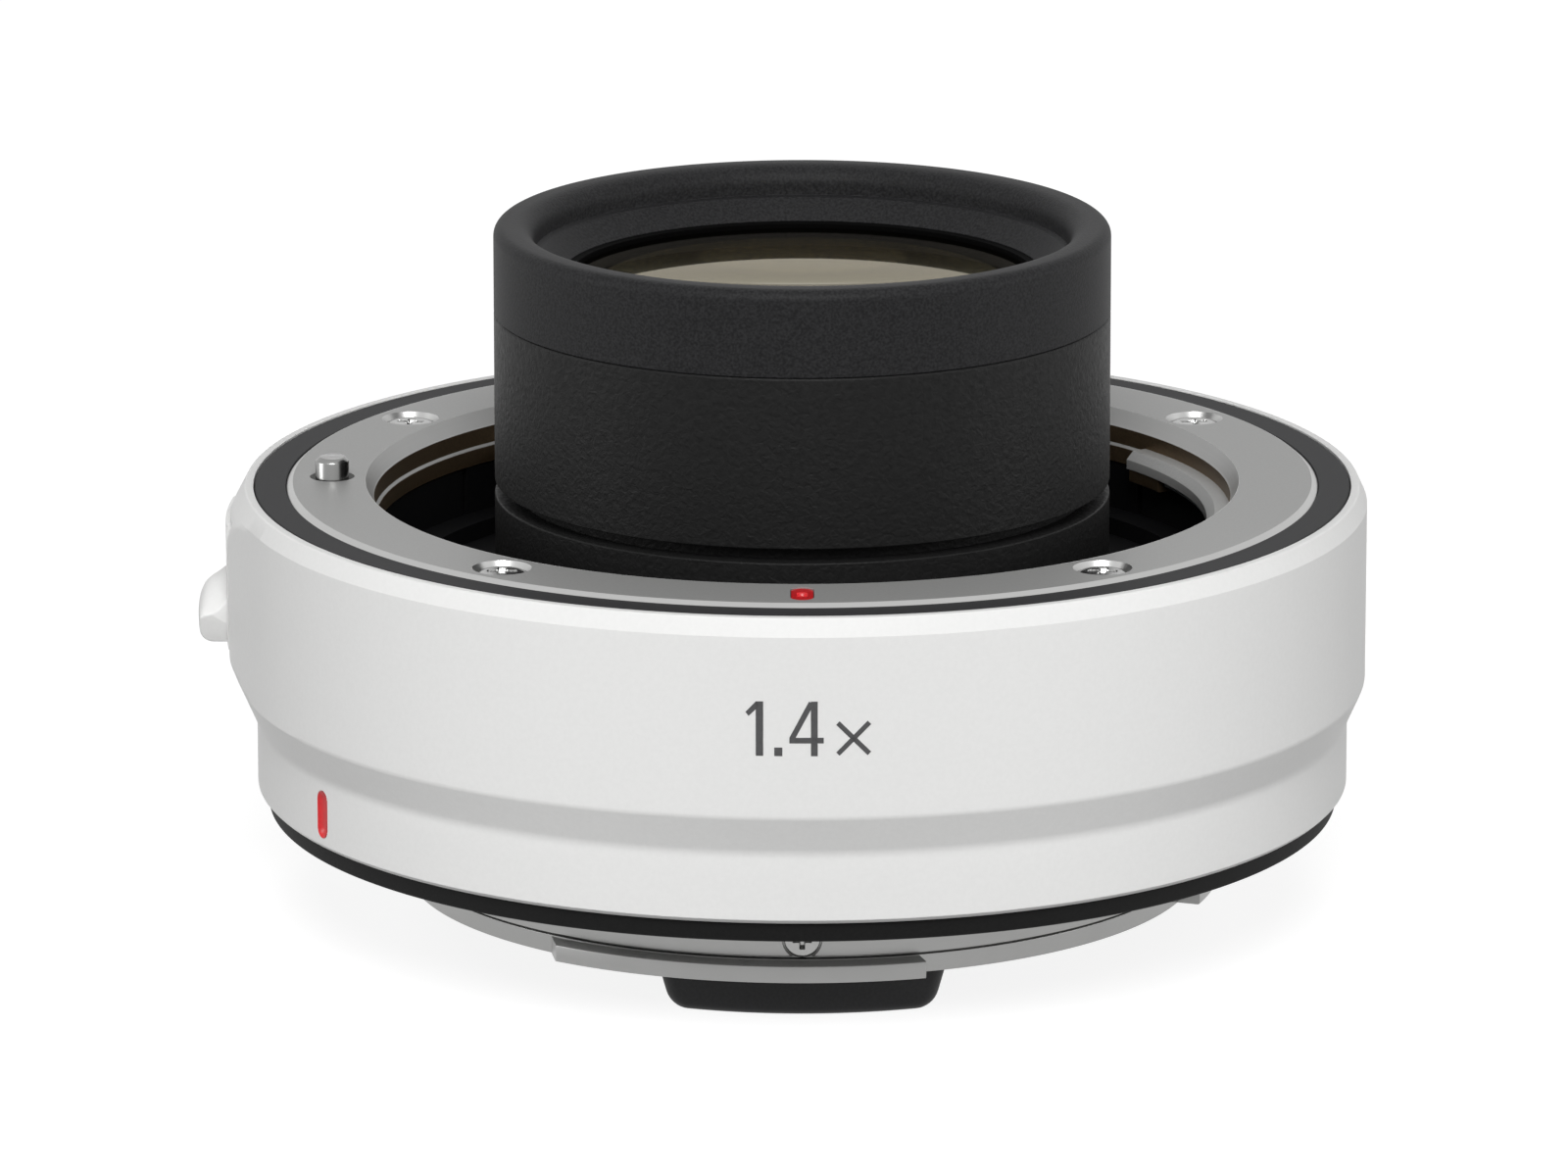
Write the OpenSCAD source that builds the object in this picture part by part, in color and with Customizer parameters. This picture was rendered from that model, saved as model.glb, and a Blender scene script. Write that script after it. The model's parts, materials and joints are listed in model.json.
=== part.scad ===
// Camera teleconverter: a short lens unit held between a female front bayonet and a male rear bayonet.
// Z is the optical axis, the rear mount face is z = 0 and the front of the lens points up.
// Azimuths are in degrees from +X; the index dot and the electrical contacts are at 270.

/* [Mount interface] */
// Distance between the front and the rear mount face
mount_to_mount = 20.3; // [19.3:0.1:24]
// Gap between the lens barrel and the wall of the front throat
throat_gap = 7.3; // [7:0.1:8]
// How far a tab reaches inwards from the throat wall
tab_reach = 1.2; // [1:0.05:1.4]
// Depth of the tabs' upper face below the front mount face
tab_depth = 1.95; // [1.8:0.05:2.05]
// Thickness of a tab over its spring
tab_t = 1.15; // [0.9:0.05:1.3]
// Thickness of a tab at its root, where the lobe enters
tab_root_t = 1.95; // [1.8:0.05:2]
// Distance from the rear mount face to the lobes' upper face
lobe_drop = 4.05; // [4:0.05:4.4]
// Thickness of a lobe
lobe_t = 1.1; // [0.9:0.05:1.3]
// Radial clearance between a lobe and the throat
lobe_gap = 0.2; // [0.1:0.02:0.3]
// Radial clearance between the neck and the tabs
neck_gap = 0.15; // [0.1:0.01:0.3]

/* [Front mount] */
// Width of the front mount ring, throat wall to outer edge
mount_w = 5.76; // [5.4:0.02:6.4]
// Thickness of the front mount's flange
mount_t = 1.9; // [1.6:0.05:2.2]
// Wall of the skirt below the flange
skirt_w = 1.0; // [0.8:0.05:1.1]
// Depth of the skirt below the front mount face
skirt_depth = 3.3; // [3.1:0.05:3.5]
// Distance of the front mount screws from the throat wall
mount_screw_in = 3.05; // [2.9:0.05:3.4]
// Diameter of a mount screw's head
screw_head_d = 3.4; // [3:0.1:3.6]
// Diameter of a mount screw's thread
screw_d = 1.7; // [1.4:0.1:2]
// Width of the red index mark on the front mount
front_mark_w = 1.44; // [1.2:0.02:1.6]
// Length of the red index mark on the front mount
front_mark_l = 3.2; // [2.8:0.1:3.4]

/* [Housing] */
// Width of the grey trim ring round the front mount
trim_w = 1.98; // [1.8:0.02:2.6]
// Wall of the housing
housing_wall = 1.02; // [1:0.02:1.3]
// Depth of the wide upper part below the front mount face
upper_h = 12.5; // [12.2:0.1:13]
// Height of the taper below the upper part
taper_h = 2.5; // [2.2:0.1:2.8]
// How much smaller the lower part is in radius
taper_in = 1.1; // [1:0.05:1.3]
// Height of the bevel on the housing's front edge
edge_h = 1.1; // [0.9:0.05:1.2]
// Width of the bevel on the housing's front edge
edge_w = 0.5; // [0.4:0.05:0.6]
// How far the lever boss stands out of the upper part
boss_out = 0.7; // [0.65:0.05:0.8]
// Half width of the lever boss
boss_half_w = 6; // [5.6:0.1:7]
// Width of the red index line on the lower part
rear_mark_w = 1.2; // [1:0.05:1.4]
// Azimuth of the red index line
rear_mark_az = 210.5; // [205:0.5:215]

/* [Lock] */
// Travel of the release lever and the lock pin
lock_travel = 1.5; // [1.4:0.05:1.7]
// Diameter of the lock pin
pin_d = 2.1; // [1.9:0.05:2.2]
// Distance of the lock pin from the throat wall
pin_in = 2.92; // [2.8:0.02:3.3]
// How far the lock pin stands out of the front mount face
pin_out = 1.3; // [1.2:0.05:1.4]
// Half width of the lever's knob
knob_half_w = 3.3; // [2.8:0.1:3.5]
// How far the knob stands out of the lever plate
knob_out = 2.05; // [1.8:0.05:2.6]
// Thickness of the slide plate
plate_t = 0.6; // [0.5:0.05:0.8]
// Outside diameter of the lock spring
lock_spring_d = 2.8; // [2.4:0.1:3]
// Wire diameter of the lock spring
lock_wire_d = 0.36; // [0.3:0.02:0.4]
// Turns of the lock spring
lock_turns = 6; // [5:1:8]

/* [Lens barrel] */
// Outside diameter of the lens barrel
barrel_d = 38.6; // [38:0.1:39]
// Height of the hood's top above the front mount face
hood_top = 16.3; // [16:0.1:18]
// Height of the seam between hood and barrel above the front mount face
seam_h = 10.85; // [10.4:0.05:11.2]
// Height of the barrel's lower edge above the front mount face
barrel_foot = 0.1; // [0:0.05:0.4]
// Height of the groove between barrel and collar
groove_h = 0.87; // [0.6:0.01:1.2]
// Depth of the groove between barrel and collar
groove_in = 0.6; // [0.4:0.05:0.8]
// Wall of the collar
collar_w = 1.3; // [1.1:0.05:1.4]
// Width of the hood's rim
hood_rim_w = 2.55; // [2.3:0.05:2.8]

/* [Optics] */
// Wall of the barrel round the front lens
front_lens_wall = 4.3; // [4.1:0.05:4.6]
// Height of the front lens's edge above the front mount face
front_lens_h = 12.75; // [12.5:0.05:12.8]
// Edge thickness of the front lens
front_lens_edge = 3.45; // [3:0.05:3.8]
// Radius of the front lens's front surface
front_curve = 150; // [120:5:400]
// Wall of the barrel round the inner lenses
inner_lens_wall = 6.3; // [6.1:0.05:6.6]
// Distance of the rear lens's edge inside the barrel's outer surface
rear_lens_wall = 4.8; // [4.6:0.05:5.2]
// Edge thickness of the rear lens
rear_lens_edge = 2.8; // [2.4:0.1:3]
// Thickness of the cement between lenses of a group
cement_t = 0.02; // [0.02:0.01:0.05]

/* [Rear mount] */
// Thickness of the rear mount's flange
rear_plate_t = 1.8; // [1.6:0.05:2]
// Width of the rear mount's flange, neck to outer edge
rear_plate_w = 6.55; // [6:0.05:6.8]
// Wall of the rear neck
neck_w = 1.35; // [1.2:0.05:1.5]
// How far the rubber seal stands out of the rear mount face
seal_lip = 0.42; // [0.2:0.02:0.5]
// Depth of the rear contact block below the rear mount face
block_drop = 8.4; // [8:0.1:8.6]
// Width of the rear contact block at its foot
block_foot_w = 14.2; // [13.6:0.1:14.6]
// Width of the rear contact block where it leaves the neck
block_top_w = 17.5; // [17:0.1:17.8]

/* [Contacts] */
// Number of contacts in a row
contact_n = 12; // [8:1:12]
// Spacing of the contacts
contact_pitch = 1.0; // [0.95:0.01:1.05]
// Diameter of a contact
contact_d = 0.72; // [0.6:0.02:0.76]
// Travel of the sprung front contacts
contact_travel = 0.5; // [0.4:0.05:0.55]

/* [Fits] */
// Clearance between fixed pieces
fit_gap = 0.05; // [0.03:0.01:0.08]
// Clearance between large nested rings
ring_gap = 0.15; // [0.12:0.01:0.2]
// Clearance between sliding pieces
slide_gap = 0.15; // [0.12:0.01:0.25]

/* [Hidden] */
$fn = 96;
over = 1;                                     // overshoot of a cutting tool
contact_az = 270;                             // azimuth of the contacts and the front index
lock_az = 180;                                // azimuth of the lock
arc_steps = 8;                                // straight steps in a quarter round
lens_fn = 720;                                // steps in a lens surface's full circle

// Angles at which the bayonet tabs start and end, and the lobes that pass between them
tab_angles = [[346, 395], [97, 136], [239, 286]];
tab_root_angle = 8;
lobe_angles = [[337, 394], [93, 135], [235, 286.7]];
mount_screw_az = [32, 148, 232, 308];
rear_screw_az = [45, 135, 225, 315];
baffle_screw_az = [20, 90, 160];

// Heights, from the front mount face down
front_z = mount_to_mount;
deck_t = 1.5;
deck_z = front_z - mount_t;
floor_z = front_z - 9.4;
floor_t = 1.4;
taper_top_z = front_z - upper_h;
taper_foot_z = taper_top_z - taper_h;
ledge_z = taper_top_z - 0.5;
mid_flange_t = 1.2;
mid_flange_z = ledge_z + mid_flange_t;
house_top_z = front_z - 0.17;
house_foot_z = 0.88;
trim_top_z = front_z - 0.2;

// Radii, from the throat outwards
barrel_r = barrel_d / 2;
throat_r = barrel_r + throat_gap;
mount_screw_r = throat_r + mount_screw_in;
pin_r = throat_r + pin_in;
lead_in_w = 0.75;
lead_in_h = 0.8;
upper_wall_w = 0.3;
tab_r = throat_r - tab_reach;
mount_r = throat_r + mount_w;
mount_chamfer = 0.26;
front_mark_r = (throat_r + lead_in_w + mount_r) / 2 - 0.15;
skirt_r = throat_r + skirt_w;
frame_bore_r = skirt_r + ring_gap;
frame_wall = 1.75;
tube_r = frame_bore_r + frame_wall;
trim_in_r = mount_r + fit_gap;
trim_out_r = trim_in_r + trim_w;
house_bore_r = trim_out_r + fit_gap;
house_r = house_bore_r + housing_wall;
lower_r = house_r - taper_in;
lower_bore_r = house_bore_r - taper_in;

// Rear mount and seal
neck_r = tab_r - neck_gap;
neck_bore_r = neck_r - neck_w;
neck_step = 0.25;
neck_step_up = 0.27;
lobe_r = throat_r - lobe_gap;
lobe_z = -lobe_drop;
neck_foot_z = lobe_z - lobe_t;
lobe_chamfer = 0.3;
relief_h = 0.25;
rear_ledge_w = 2.7;
rear_ledge_r = neck_bore_r - rear_ledge_w;
relief_r = lobe_r + 0.4;
rear_plate_r = neck_r + rear_plate_w;
seal_in_r = rear_plate_r + fit_gap;
seal_top_r = lower_r - 0.57;
seal_foot_r = seal_top_r - 0.13;
rear_screw_r = (relief_r + rear_plate_r) / 2 + 0.1;
baffle_screw_r = (rear_ledge_r + neck_bore_r) / 2;
frame_rim_t = 1.5;
frame_rim_r = lower_bore_r - fit_gap;

// Lens unit
barrel_foot_z = front_z + barrel_foot;
collar_z = barrel_foot_z - groove_h;
groove_r = barrel_r - groove_in;
collar_bore_r = barrel_r - collar_w;
lower_barrel_r = collar_bore_r - fit_gap;
seam_z = front_z + seam_h;
hood_top_z = front_z + hood_top;
hood_wall = 2.05;
spigot_r = barrel_r - hood_wall - fit_gap;
lens_1_r = barrel_r - front_lens_wall;
lens_1_z = front_z + front_lens_h;
lens_1_foot_z = lens_1_z - front_lens_edge;
lens_1_clear_r = lens_1_r - 0.5;
retainer_t = 0.33;
retainer_z = lens_1_z + retainer_t;
inner_r = barrel_r - inner_lens_wall;
inner_clear_r = inner_r - 1.4;
cement_r = inner_r - 0.4;
lip_z = front_z + 5.6;
lip_t = 0.8;
lens_2_foot_z = lip_z - 5.8;
lens_3_foot_z = lens_2_foot_z - 1.2;
cell_z = 5.3;
lens_6_top_z = cell_z + 4.68;
lens_5_top_z = lens_6_top_z + 1.2;
lens_4_top_z = lens_5_top_z + 4.1;
rear_spigot_h = 1.9;
rear_spigot_r = lower_barrel_r - 1.35;
cell_flange_t = 1.6;
cell_r = lower_barrel_r - 0.45;
lens_7_r = barrel_r - rear_lens_wall;
lens_7_z = cell_z - cell_flange_t;
lens_7_foot_z = lens_7_z - rear_lens_edge;
lens_7_clear_r = inner_clear_r + 0.7;
cell_foot_z = 0.2;
lock_ring_w = 2.2;
lock_ring_t = 1.5;

// Inner shield
shield_r = frame_bore_r - ring_gap;
shield_wall = 0.8;
shield_bore_r = shield_r - shield_wall;
shield_top_z = front_z - skirt_depth - 0.1;
shield_ledge_z = front_z - 6.4;
shield_ledge_r = shield_bore_r - 1.9;
shield_floor_z = front_z - 7.5;
shield_floor_t = 0.8;
shield_hole_r = barrel_r + slide_gap;
path_angles = [246, 354];
path_r = shield_ledge_r + 0.4;
seam_az = [36, 144];
seam_w = 0.5;

// Lock, drawn along +X and turned to its azimuth
bush_d = 3.1;
tongue_z = deck_z - deck_t - fit_gap;
leaf_x = house_bore_r - 0.64;
leaf_half_w = 3;
leaf_foot_z = front_z - 10;
knob_foot_z = front_z - 9.9;
stem_half_w = 2.4;
stem_z = [front_z - 9.4, front_z - 6.8];
lever_plate_half_w = 3.9;
lever_plate_z = [front_z - 10.3, front_z - 2.2];
boss_r = house_r + boss_out;
lever_plate_r = boss_r - 0.2;
recess_r = lever_plate_r - 0.75;
spring_x = leaf_x - plate_t - lock_spring_d / 2 - 0.85;
lever_screw_y = 1.4;
lever_screw_z = (stem_z[0] + stem_z[1]) / 2;
lever_screw_d = 1.2;

// Contacts
front_block_r = [barrel_r + 1.3, tab_r - 0.8];
front_block_half_a = 19;
front_block_flange_t = 0.55;
front_block_inset = 0.4;
block_body_r = [front_block_r[0] + front_block_inset, front_block_r[1] - front_block_inset];
board_z = floor_z - 2.8;
board_t = 1;
board_r = [lower_barrel_r + lock_ring_w + 0.5, frame_bore_r - 0.6];
board_angles = [204, 336];
board_boss_az = [212, 328];
board_boss_r = (board_r[0] + board_r[1]) / 2;
pin_row_r = (front_block_r[0] + front_block_r[1]) / 2;
pin_tip_z = floor_z + 1.2;
pin_l = 2.2;
block_out_r = neck_bore_r - 0.3;
block_in_r = block_out_r - 3.8;
block_top_z = rear_plate_t + 1.5;
block_corner = 1.4;
block_slope_h = 3.4;
pad_row_r = (block_in_r + block_out_r) / 2 - 0.4;
block_screw_z = -2.7;
block_screw_d = 2.2;

function sag(curve, r) = curve - sqrt(curve * curve - r * r);
function arc(cx, cy, r, a0, a1) =
    [for (i = [0:arc_steps]) let (a = a0 + (a1 - a0) * i / arc_steps) [cx + r * cos(a), cy + r * sin(a)]];

module revolve(profile) {
    rotate_extrude() polygon(profile);
}

module ring(r_in, r_out, z0, z1) {
    rotate_extrude() translate([r_in, z0]) square([r_out - r_in, z1 - z0]);
}

// Part of a ring between two azimuths
module arc_ring(r_in, r_out, a0, a1, z0, z1) {
    rotate([0, 0, a0]) rotate_extrude(angle = a1 - a0)
        translate([r_in, z0]) square([r_out - r_in, z1 - z0]);
}

module at_polar(r, az, z = 0) {
    rotate([0, 0, az]) translate([r, 0, z]) children();
}

// Upright bar with round ends, centred on the origin and lying along X
module round_bar(l, w, h) {
    for (x = [-1, 1] * (l - w) / 2) translate([x, 0, 0]) cylinder(h = h, d = w);
    translate([(w - l) / 2, -w / 2, 0]) cube([l - w, w, h]);
}

// Cross-recess screw standing on z = 0: the head with its bevelled rim above, the thread below
module cross_screw(head_d, head_h, d, l) {
    slot_w = head_d * 0.17;
    slot_l = head_d * 0.6;
    difference() {
        union() {
            rotate_extrude() polygon([
                [0, 0], [head_d / 2, 0], [head_d / 2, head_h - 0.09 * head_d], [0.36 * head_d, head_h], [0, head_h]
            ]);
            translate([0, 0, -l]) cylinder(h = l, d = d);
        }
        for (a = [0, 90]) rotate([0, 0, a])
            translate([-slot_l / 2, -slot_w / 2, head_h / 2]) cube([slot_l, slot_w, head_h]);
    }
}

// Closed coil of wire as one tube, from z0 up to z1
module coil(coil_r, wire_r, turns, z0, z1, sides, per_turn) {
    n = turns * per_turn;
    rise = z1 - z0 - 2 * wire_r;
    rings = [for (i = [0:n]) let (t = 360 * i / per_turn, zc = z0 + wire_r + rise * i / n)
        [for (k = [0:sides - 1]) let (a = 360 * k / sides, r = coil_r + wire_r * cos(a))
            [r * cos(t), r * sin(t), zc + wire_r * sin(a)]]];
    points = [for (ring_points = rings) each ring_points];
    side_faces = [for (i = [0:n - 1], k = [0:sides - 1]) let (
        k2 = (k + 1) % sides, p = i * sides + k, q = i * sides + k2)
        each [[p, p + sides, q], [q, p + sides, q + sides]]];
    caps = [for (k = [1:sides - 2]) each [[0, k, k + 1], [n * sides, n * sides + k + 1, n * sides + k]]];
    polyhedron(points, concat(side_faces, caps));
}

// Lens with flat seats round its curved faces; a positive curve bulges and a negative one is hollow
module lens(r, z_top, z_foot, top_curve, top_clear, foot_curve, foot_clear) {
    top_sag = sag(abs(top_curve), top_clear);
    foot_sag = sag(abs(foot_curve), foot_clear);
    seat = (z_top - z_foot) / 4;
    rotate_extrude() difference() {
        union() {
            translate([0, z_foot]) square([r, z_top - z_foot]);
            if (top_curve > 0) intersection() {
                translate([0, z_top + top_sag - top_curve]) circle(r = top_curve, $fn = lens_fn);
                translate([0, z_top - seat]) square([top_clear, top_sag + seat + over]);
            }
            if (foot_curve > 0) intersection() {
                translate([0, z_foot - foot_sag + foot_curve]) circle(r = foot_curve, $fn = lens_fn);
                translate([0, z_foot - foot_sag - over]) square([foot_clear, foot_sag + seat + over]);
            }
        }
        if (top_curve < 0) translate([0, z_top - top_sag - top_curve]) circle(r = -top_curve, $fn = lens_fn);
        if (foot_curve < 0) translate([0, z_foot + foot_sag + foot_curve]) circle(r = -foot_curve, $fn = lens_fn);
    }
}

// Housing and trim

module housing_profile() {
    polygon(concat(
        [[lower_bore_r, house_foot_z], [lower_r - 0.25, house_foot_z], [lower_r, house_foot_z + 0.25]],
        [[lower_r, taper_foot_z], [house_r, taper_top_z]],
        [[house_r, house_top_z - edge_h], [house_r - edge_w, house_top_z]],
        [[house_bore_r, house_top_z], [house_bore_r, ledge_z], [lower_bore_r, ledge_z]]
    ));
}

// Raised boss that carries the release lever, with a crowned top and a foot that runs into the taper
module lever_boss() {
    half_a = asin(boss_half_w / boss_r);
    crown = 4.9;
    crown_h = 3.3;
    crown_z = front_z - 0.4 - crown_h;
    foot = boss_r - 0.16;
    foot_z = taper_top_z + (foot - house_r) * taper_h / taper_in;
    profile = concat(
        [[house_bore_r + 0.3, taper_top_z], [house_r, taper_top_z], [foot, foot_z], [boss_r, foot_z + 1.1]],
        arc(boss_r - crown, crown_z, crown, 0, asin(crown_h / crown)),
        [[house_bore_r + 0.3, crown_z + crown_h]]
    );
    rotate([0, 0, lock_az - half_a]) rotate_extrude(angle = 2 * half_a) polygon(profile);
}

// Bar with round ends along the index line; it lies this far under the surface and is this thick
module rear_mark_bar(w, depth, t) {
    l = taper_foot_z - house_foot_z - 1.42 + (w - rear_mark_w);
    rotate([0, 0, rear_mark_az]) translate([lower_r - depth, 0, (taper_foot_z + house_foot_z) / 2])
        rotate([0, 90, 0]) round_bar(l, w, t);
}

module outer_housing() {
    color("whitesmoke") difference() {
        union() {
            rotate_extrude() housing_profile();
            lever_boss();
        }
        rear_mark_bar(rear_mark_w, 0.5, 0.5 + over);
        rotate([0, 0, lock_az]) {
            recess_foot_z = lever_plate_z[0] - lock_travel - slide_gap;
            half_a = asin((lever_plate_half_w + slide_gap) / recess_r);
            arc_ring(recess_r - fit_gap, boss_r + over, -half_a, half_a,
                     recess_foot_z, lever_plate_z[1] + slide_gap);
            slot_foot_z = stem_z[0] - lock_travel - slide_gap;
            translate([leaf_x, -stem_half_w - slide_gap, slot_foot_z])
                cube([5, 2 * (stem_half_w + slide_gap), stem_z[1] + slide_gap - slot_foot_z]);
        }
    }
}

module rear_index_mark() {
    color("red") rear_mark_bar(rear_mark_w - 2 * fit_gap, 0.5 - fit_gap, 0.33);
}

module front_trim_ring() {
    bevel = 0.15;
    color("dimgray") revolve([
        [trim_in_r, deck_z], [trim_out_r, deck_z], [trim_out_r, trim_top_z - bevel],
        [trim_out_r - bevel, trim_top_z], [trim_in_r + bevel, trim_top_z], [trim_in_r, trim_top_z - bevel]
    ]);
}

module rear_seal_ring() {
    color("black") revolve([
        [seal_in_r, 0.1], [seal_in_r, rear_plate_t], [frame_rim_r, rear_plate_t],
        [frame_rim_r, house_foot_z - fit_gap], [seal_top_r, house_foot_z - fit_gap],
        [seal_foot_r, -seal_lip], [seal_foot_r - 0.5, -seal_lip], [seal_foot_r - 0.9, 0.1]
    ]);
}

// Front mount

// Tab with a bevelled inner edge, thin over its leaf spring and with a block under its root
module front_tab(a0, a1) {
    bevel = 0.5;
    inset = 0.1;
    end_inset = 0.3;
    z1 = front_z - tab_depth;
    z0 = z1 - tab_t;
    rotate([0, 0, a0]) rotate_extrude(angle = a1 - a0) polygon([
        [tab_r, z0], [throat_r + 0.4, z0], [throat_r + 0.4, z1], [tab_r + bevel, z1], [tab_r, z1 - bevel]
    ]);
    arc_ring(tab_r + inset, shield_bore_r - fit_gap, a1 - tab_root_angle, a1 - end_inset,
             z1 - tab_root_t, z0 + 0.3);
}

// Bar with round ends along the front index mark, from this depth up
module front_mark_bar(w, depth, t) {
    at_polar(front_mark_r, contact_az, front_z - depth) round_bar(front_mark_l + (w - front_mark_w), w, t);
}

module front_mount() {
    head_h = 0.75;
    sink = 0.95;
    color("silver") difference() {
        union() {
            revolve([
                [throat_r, front_z - skirt_depth], [skirt_r, front_z - skirt_depth], [skirt_r, deck_z],
                [mount_r, deck_z], [mount_r, front_z - mount_chamfer], [mount_r - mount_chamfer, front_z],
                [throat_r + lead_in_w, front_z], [throat_r + upper_wall_w, front_z - lead_in_h],
                [throat_r + upper_wall_w, front_z - tab_depth - 0.1], [throat_r, front_z - tab_depth - 0.4]
            ]);
            for (a = tab_angles) front_tab(a[0], a[1]);
        }
        for (az = mount_screw_az) at_polar(mount_screw_r, az) {
            translate([0, 0, front_z - sink]) cylinder(h = sink + over, d = screw_head_d + 0.25);
            translate([0, 0, deck_z - over]) cylinder(h = mount_t + 2 * over, d = screw_d + 2 * fit_gap);
        }
        at_polar(pin_r, lock_az, deck_z - over) cylinder(h = mount_t + 2 * over, d = pin_d + 0.7);
        front_mark_bar(front_mark_w, 0.6, 0.6 + over);
    }
}

module front_mount_screws() {
    sink = 0.95;
    color("silver") for (az = mount_screw_az) at_polar(mount_screw_r, az, front_z - sink)
        cross_screw(screw_head_d, 0.75, screw_d, 4.2);
}

module front_index_mark() {
    color("red") difference() {
        front_mark_bar(front_mark_w - 2 * fit_gap, 0.6, 0.52);
        at_polar(front_mark_r, contact_az, front_z - 0.3) cylinder(h = over, d = 1.1);
    }
}

// Leaf under each tab that presses the lobes of the lens down
module bayonet_springs() {
    leaf_t = 0.25;
    z1 = front_z - tab_depth - tab_t;
    margin = 1.5;
    color("slategray") for (a = tab_angles)
        arc_ring(tab_r + 0.2, throat_r - 0.1, a[0] + margin, a[1] - tab_root_angle - margin, z1 - leaf_t, z1);
}

// Frame and shield

module frame_bosses() {
    boss_d = 4.6;
    rear_boss_d = 4.2;
    for (az = mount_screw_az) at_polar(mount_screw_r, az, deck_z - 4.2) cylinder(h = 4.2, d = boss_d);
    for (az = rear_screw_az) at_polar(rear_screw_r, az, rear_plate_t)
        cylinder(h = ledge_z - rear_plate_t + fit_gap, d = rear_boss_d);
    for (az = board_boss_az) at_polar(board_boss_r, az, board_z) cylinder(h = floor_z - board_z - fit_gap, d = 3);
}

module main_frame() {
    color("#1c1c1e") difference() {
        union() {
            revolve([
                [frame_bore_r, rear_plate_t], [frame_rim_r, rear_plate_t], [frame_rim_r, rear_plate_t + frame_rim_t],
                [tube_r, rear_plate_t + frame_rim_t], [tube_r, ledge_z], [trim_out_r, ledge_z],
                [trim_out_r, mid_flange_z], [tube_r, mid_flange_z], [tube_r, deck_z - deck_t],
                [trim_out_r, deck_z - deck_t], [trim_out_r, deck_z], [frame_bore_r, deck_z],
                [frame_bore_r, floor_z], [collar_bore_r, floor_z], [collar_bore_r, floor_z - floor_t],
                [frame_bore_r, floor_z - floor_t]
            ]);
            frame_bosses();
        }
        for (az = mount_screw_az) at_polar(mount_screw_r, az, deck_z - 4)
            cylinder(h = 4 + over, d = screw_d + 2 * fit_gap);
        translate([0, 0, floor_z + over]) cylinder(h = deck_z, r = frame_bore_r);
        for (az = rear_screw_az) at_polar(rear_screw_r, az, rear_plate_t - over)
            cylinder(h = 4 + over, d = screw_d + 2 * fit_gap);
        for (az = board_boss_az) at_polar(board_boss_r, az, board_z - over)
            cylinder(h = 2 + over, d = 1.2 + 2 * fit_gap);
        for (side = [-1, 1]) rotate([0, 0, contact_az + side * (front_block_half_a + 2.6)])
            translate([pin_row_r, 0, floor_z - floor_t - over])
            cylinder(h = floor_t + 2 * over, d = 1.2 + 2 * fit_gap);
        at_polar(pin_r, lock_az, deck_z - deck_t - over) cylinder(h = deck_t + 2 * over, d = bush_d + 2 * fit_gap);
        rotate([0, 0, lock_az]) translate([pin_r - pin_d / 2 - slide_gap, -leaf_half_w - 1, mid_flange_z])
            cube([trim_out_r, 2 * leaf_half_w + 2, deck_z - deck_t - mid_flange_z]);
        half_a = front_block_half_a - 2;
        arc_ring(block_body_r[0] - fit_gap, block_body_r[1] + fit_gap, contact_az - half_a - 0.2,
                 contact_az + half_a + 0.2, floor_z - floor_t - over, floor_z + over);
    }
    color("#1c1c1e") at_polar(spring_x, lock_az, mid_flange_z - fit_gap)
        cylinder(h = 1.2, d = lock_spring_d - 2 * lock_wire_d - 0.3);
}

module inner_shield() {
    color("#101010") difference() {
        revolve([
            [shield_bore_r, shield_top_z], [shield_r, shield_top_z], [shield_r, floor_z],
            [shield_bore_r - 0.4, floor_z], [shield_bore_r - 0.4, shield_floor_z - shield_floor_t],
            [shield_hole_r, shield_floor_z - shield_floor_t], [shield_hole_r, shield_floor_z],
            [shield_ledge_r, shield_floor_z], [shield_ledge_r, shield_ledge_z], [shield_bore_r, shield_ledge_z]
        ]);
        arc_ring(shield_hole_r - over, path_r, path_angles[0], path_angles[1], floor_z - over, shield_top_z);
        for (az = seam_az) rotate([0, 0, az]) translate([shield_bore_r - 0.1, -seam_w / 2, shield_ledge_z])
            cube([0.4, seam_w, front_z]);
    }
}

module pin_guide_bush() {
    color("goldenrod") at_polar(pin_r, lock_az, deck_z - deck_t) difference() {
        cylinder(h = deck_t, d = bush_d);
        translate([0, 0, -over]) cylinder(h = deck_t + 2 * over, d = pin_d + 2 * fit_gap);
    }
}

// Lock

module lock_pin() {
    tip = 0.25;
    color("lightgray") at_polar(pin_r, lock_az) {
        translate([0, 0, tongue_z - plate_t]) cylinder(h = front_z + pin_out - tip - tongue_z + plate_t, d = pin_d);
        translate([0, 0, front_z + pin_out - tip]) cylinder(h = tip, d1 = pin_d, d2 = pin_d - 2 * tip);
    }
}

module lock_slide_plate() {
    color("darkgray") rotate([0, 0, lock_az]) difference() {
        union() {
            translate([pin_r - pin_d / 2 + 0.05, -leaf_half_w, tongue_z - plate_t])
                cube([leaf_x - pin_r + pin_d / 2 - 0.05, 2 * leaf_half_w, plate_t]);
            translate([leaf_x - plate_t, -leaf_half_w, leaf_foot_z])
                cube([plate_t, 2 * leaf_half_w, tongue_z - leaf_foot_z]);
        }
        translate([pin_r, 0, tongue_z - plate_t - over]) cylinder(h = plate_t + 2 * over, d = pin_d + 0.02);
        for (y = [-1, 1] * lever_screw_y) translate([leaf_x - plate_t - over, y, lever_screw_z])
            rotate([0, 90, 0]) cylinder(h = plate_t + 2 * over, d = lever_screw_d + 2 * fit_gap);
    }
}

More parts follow.
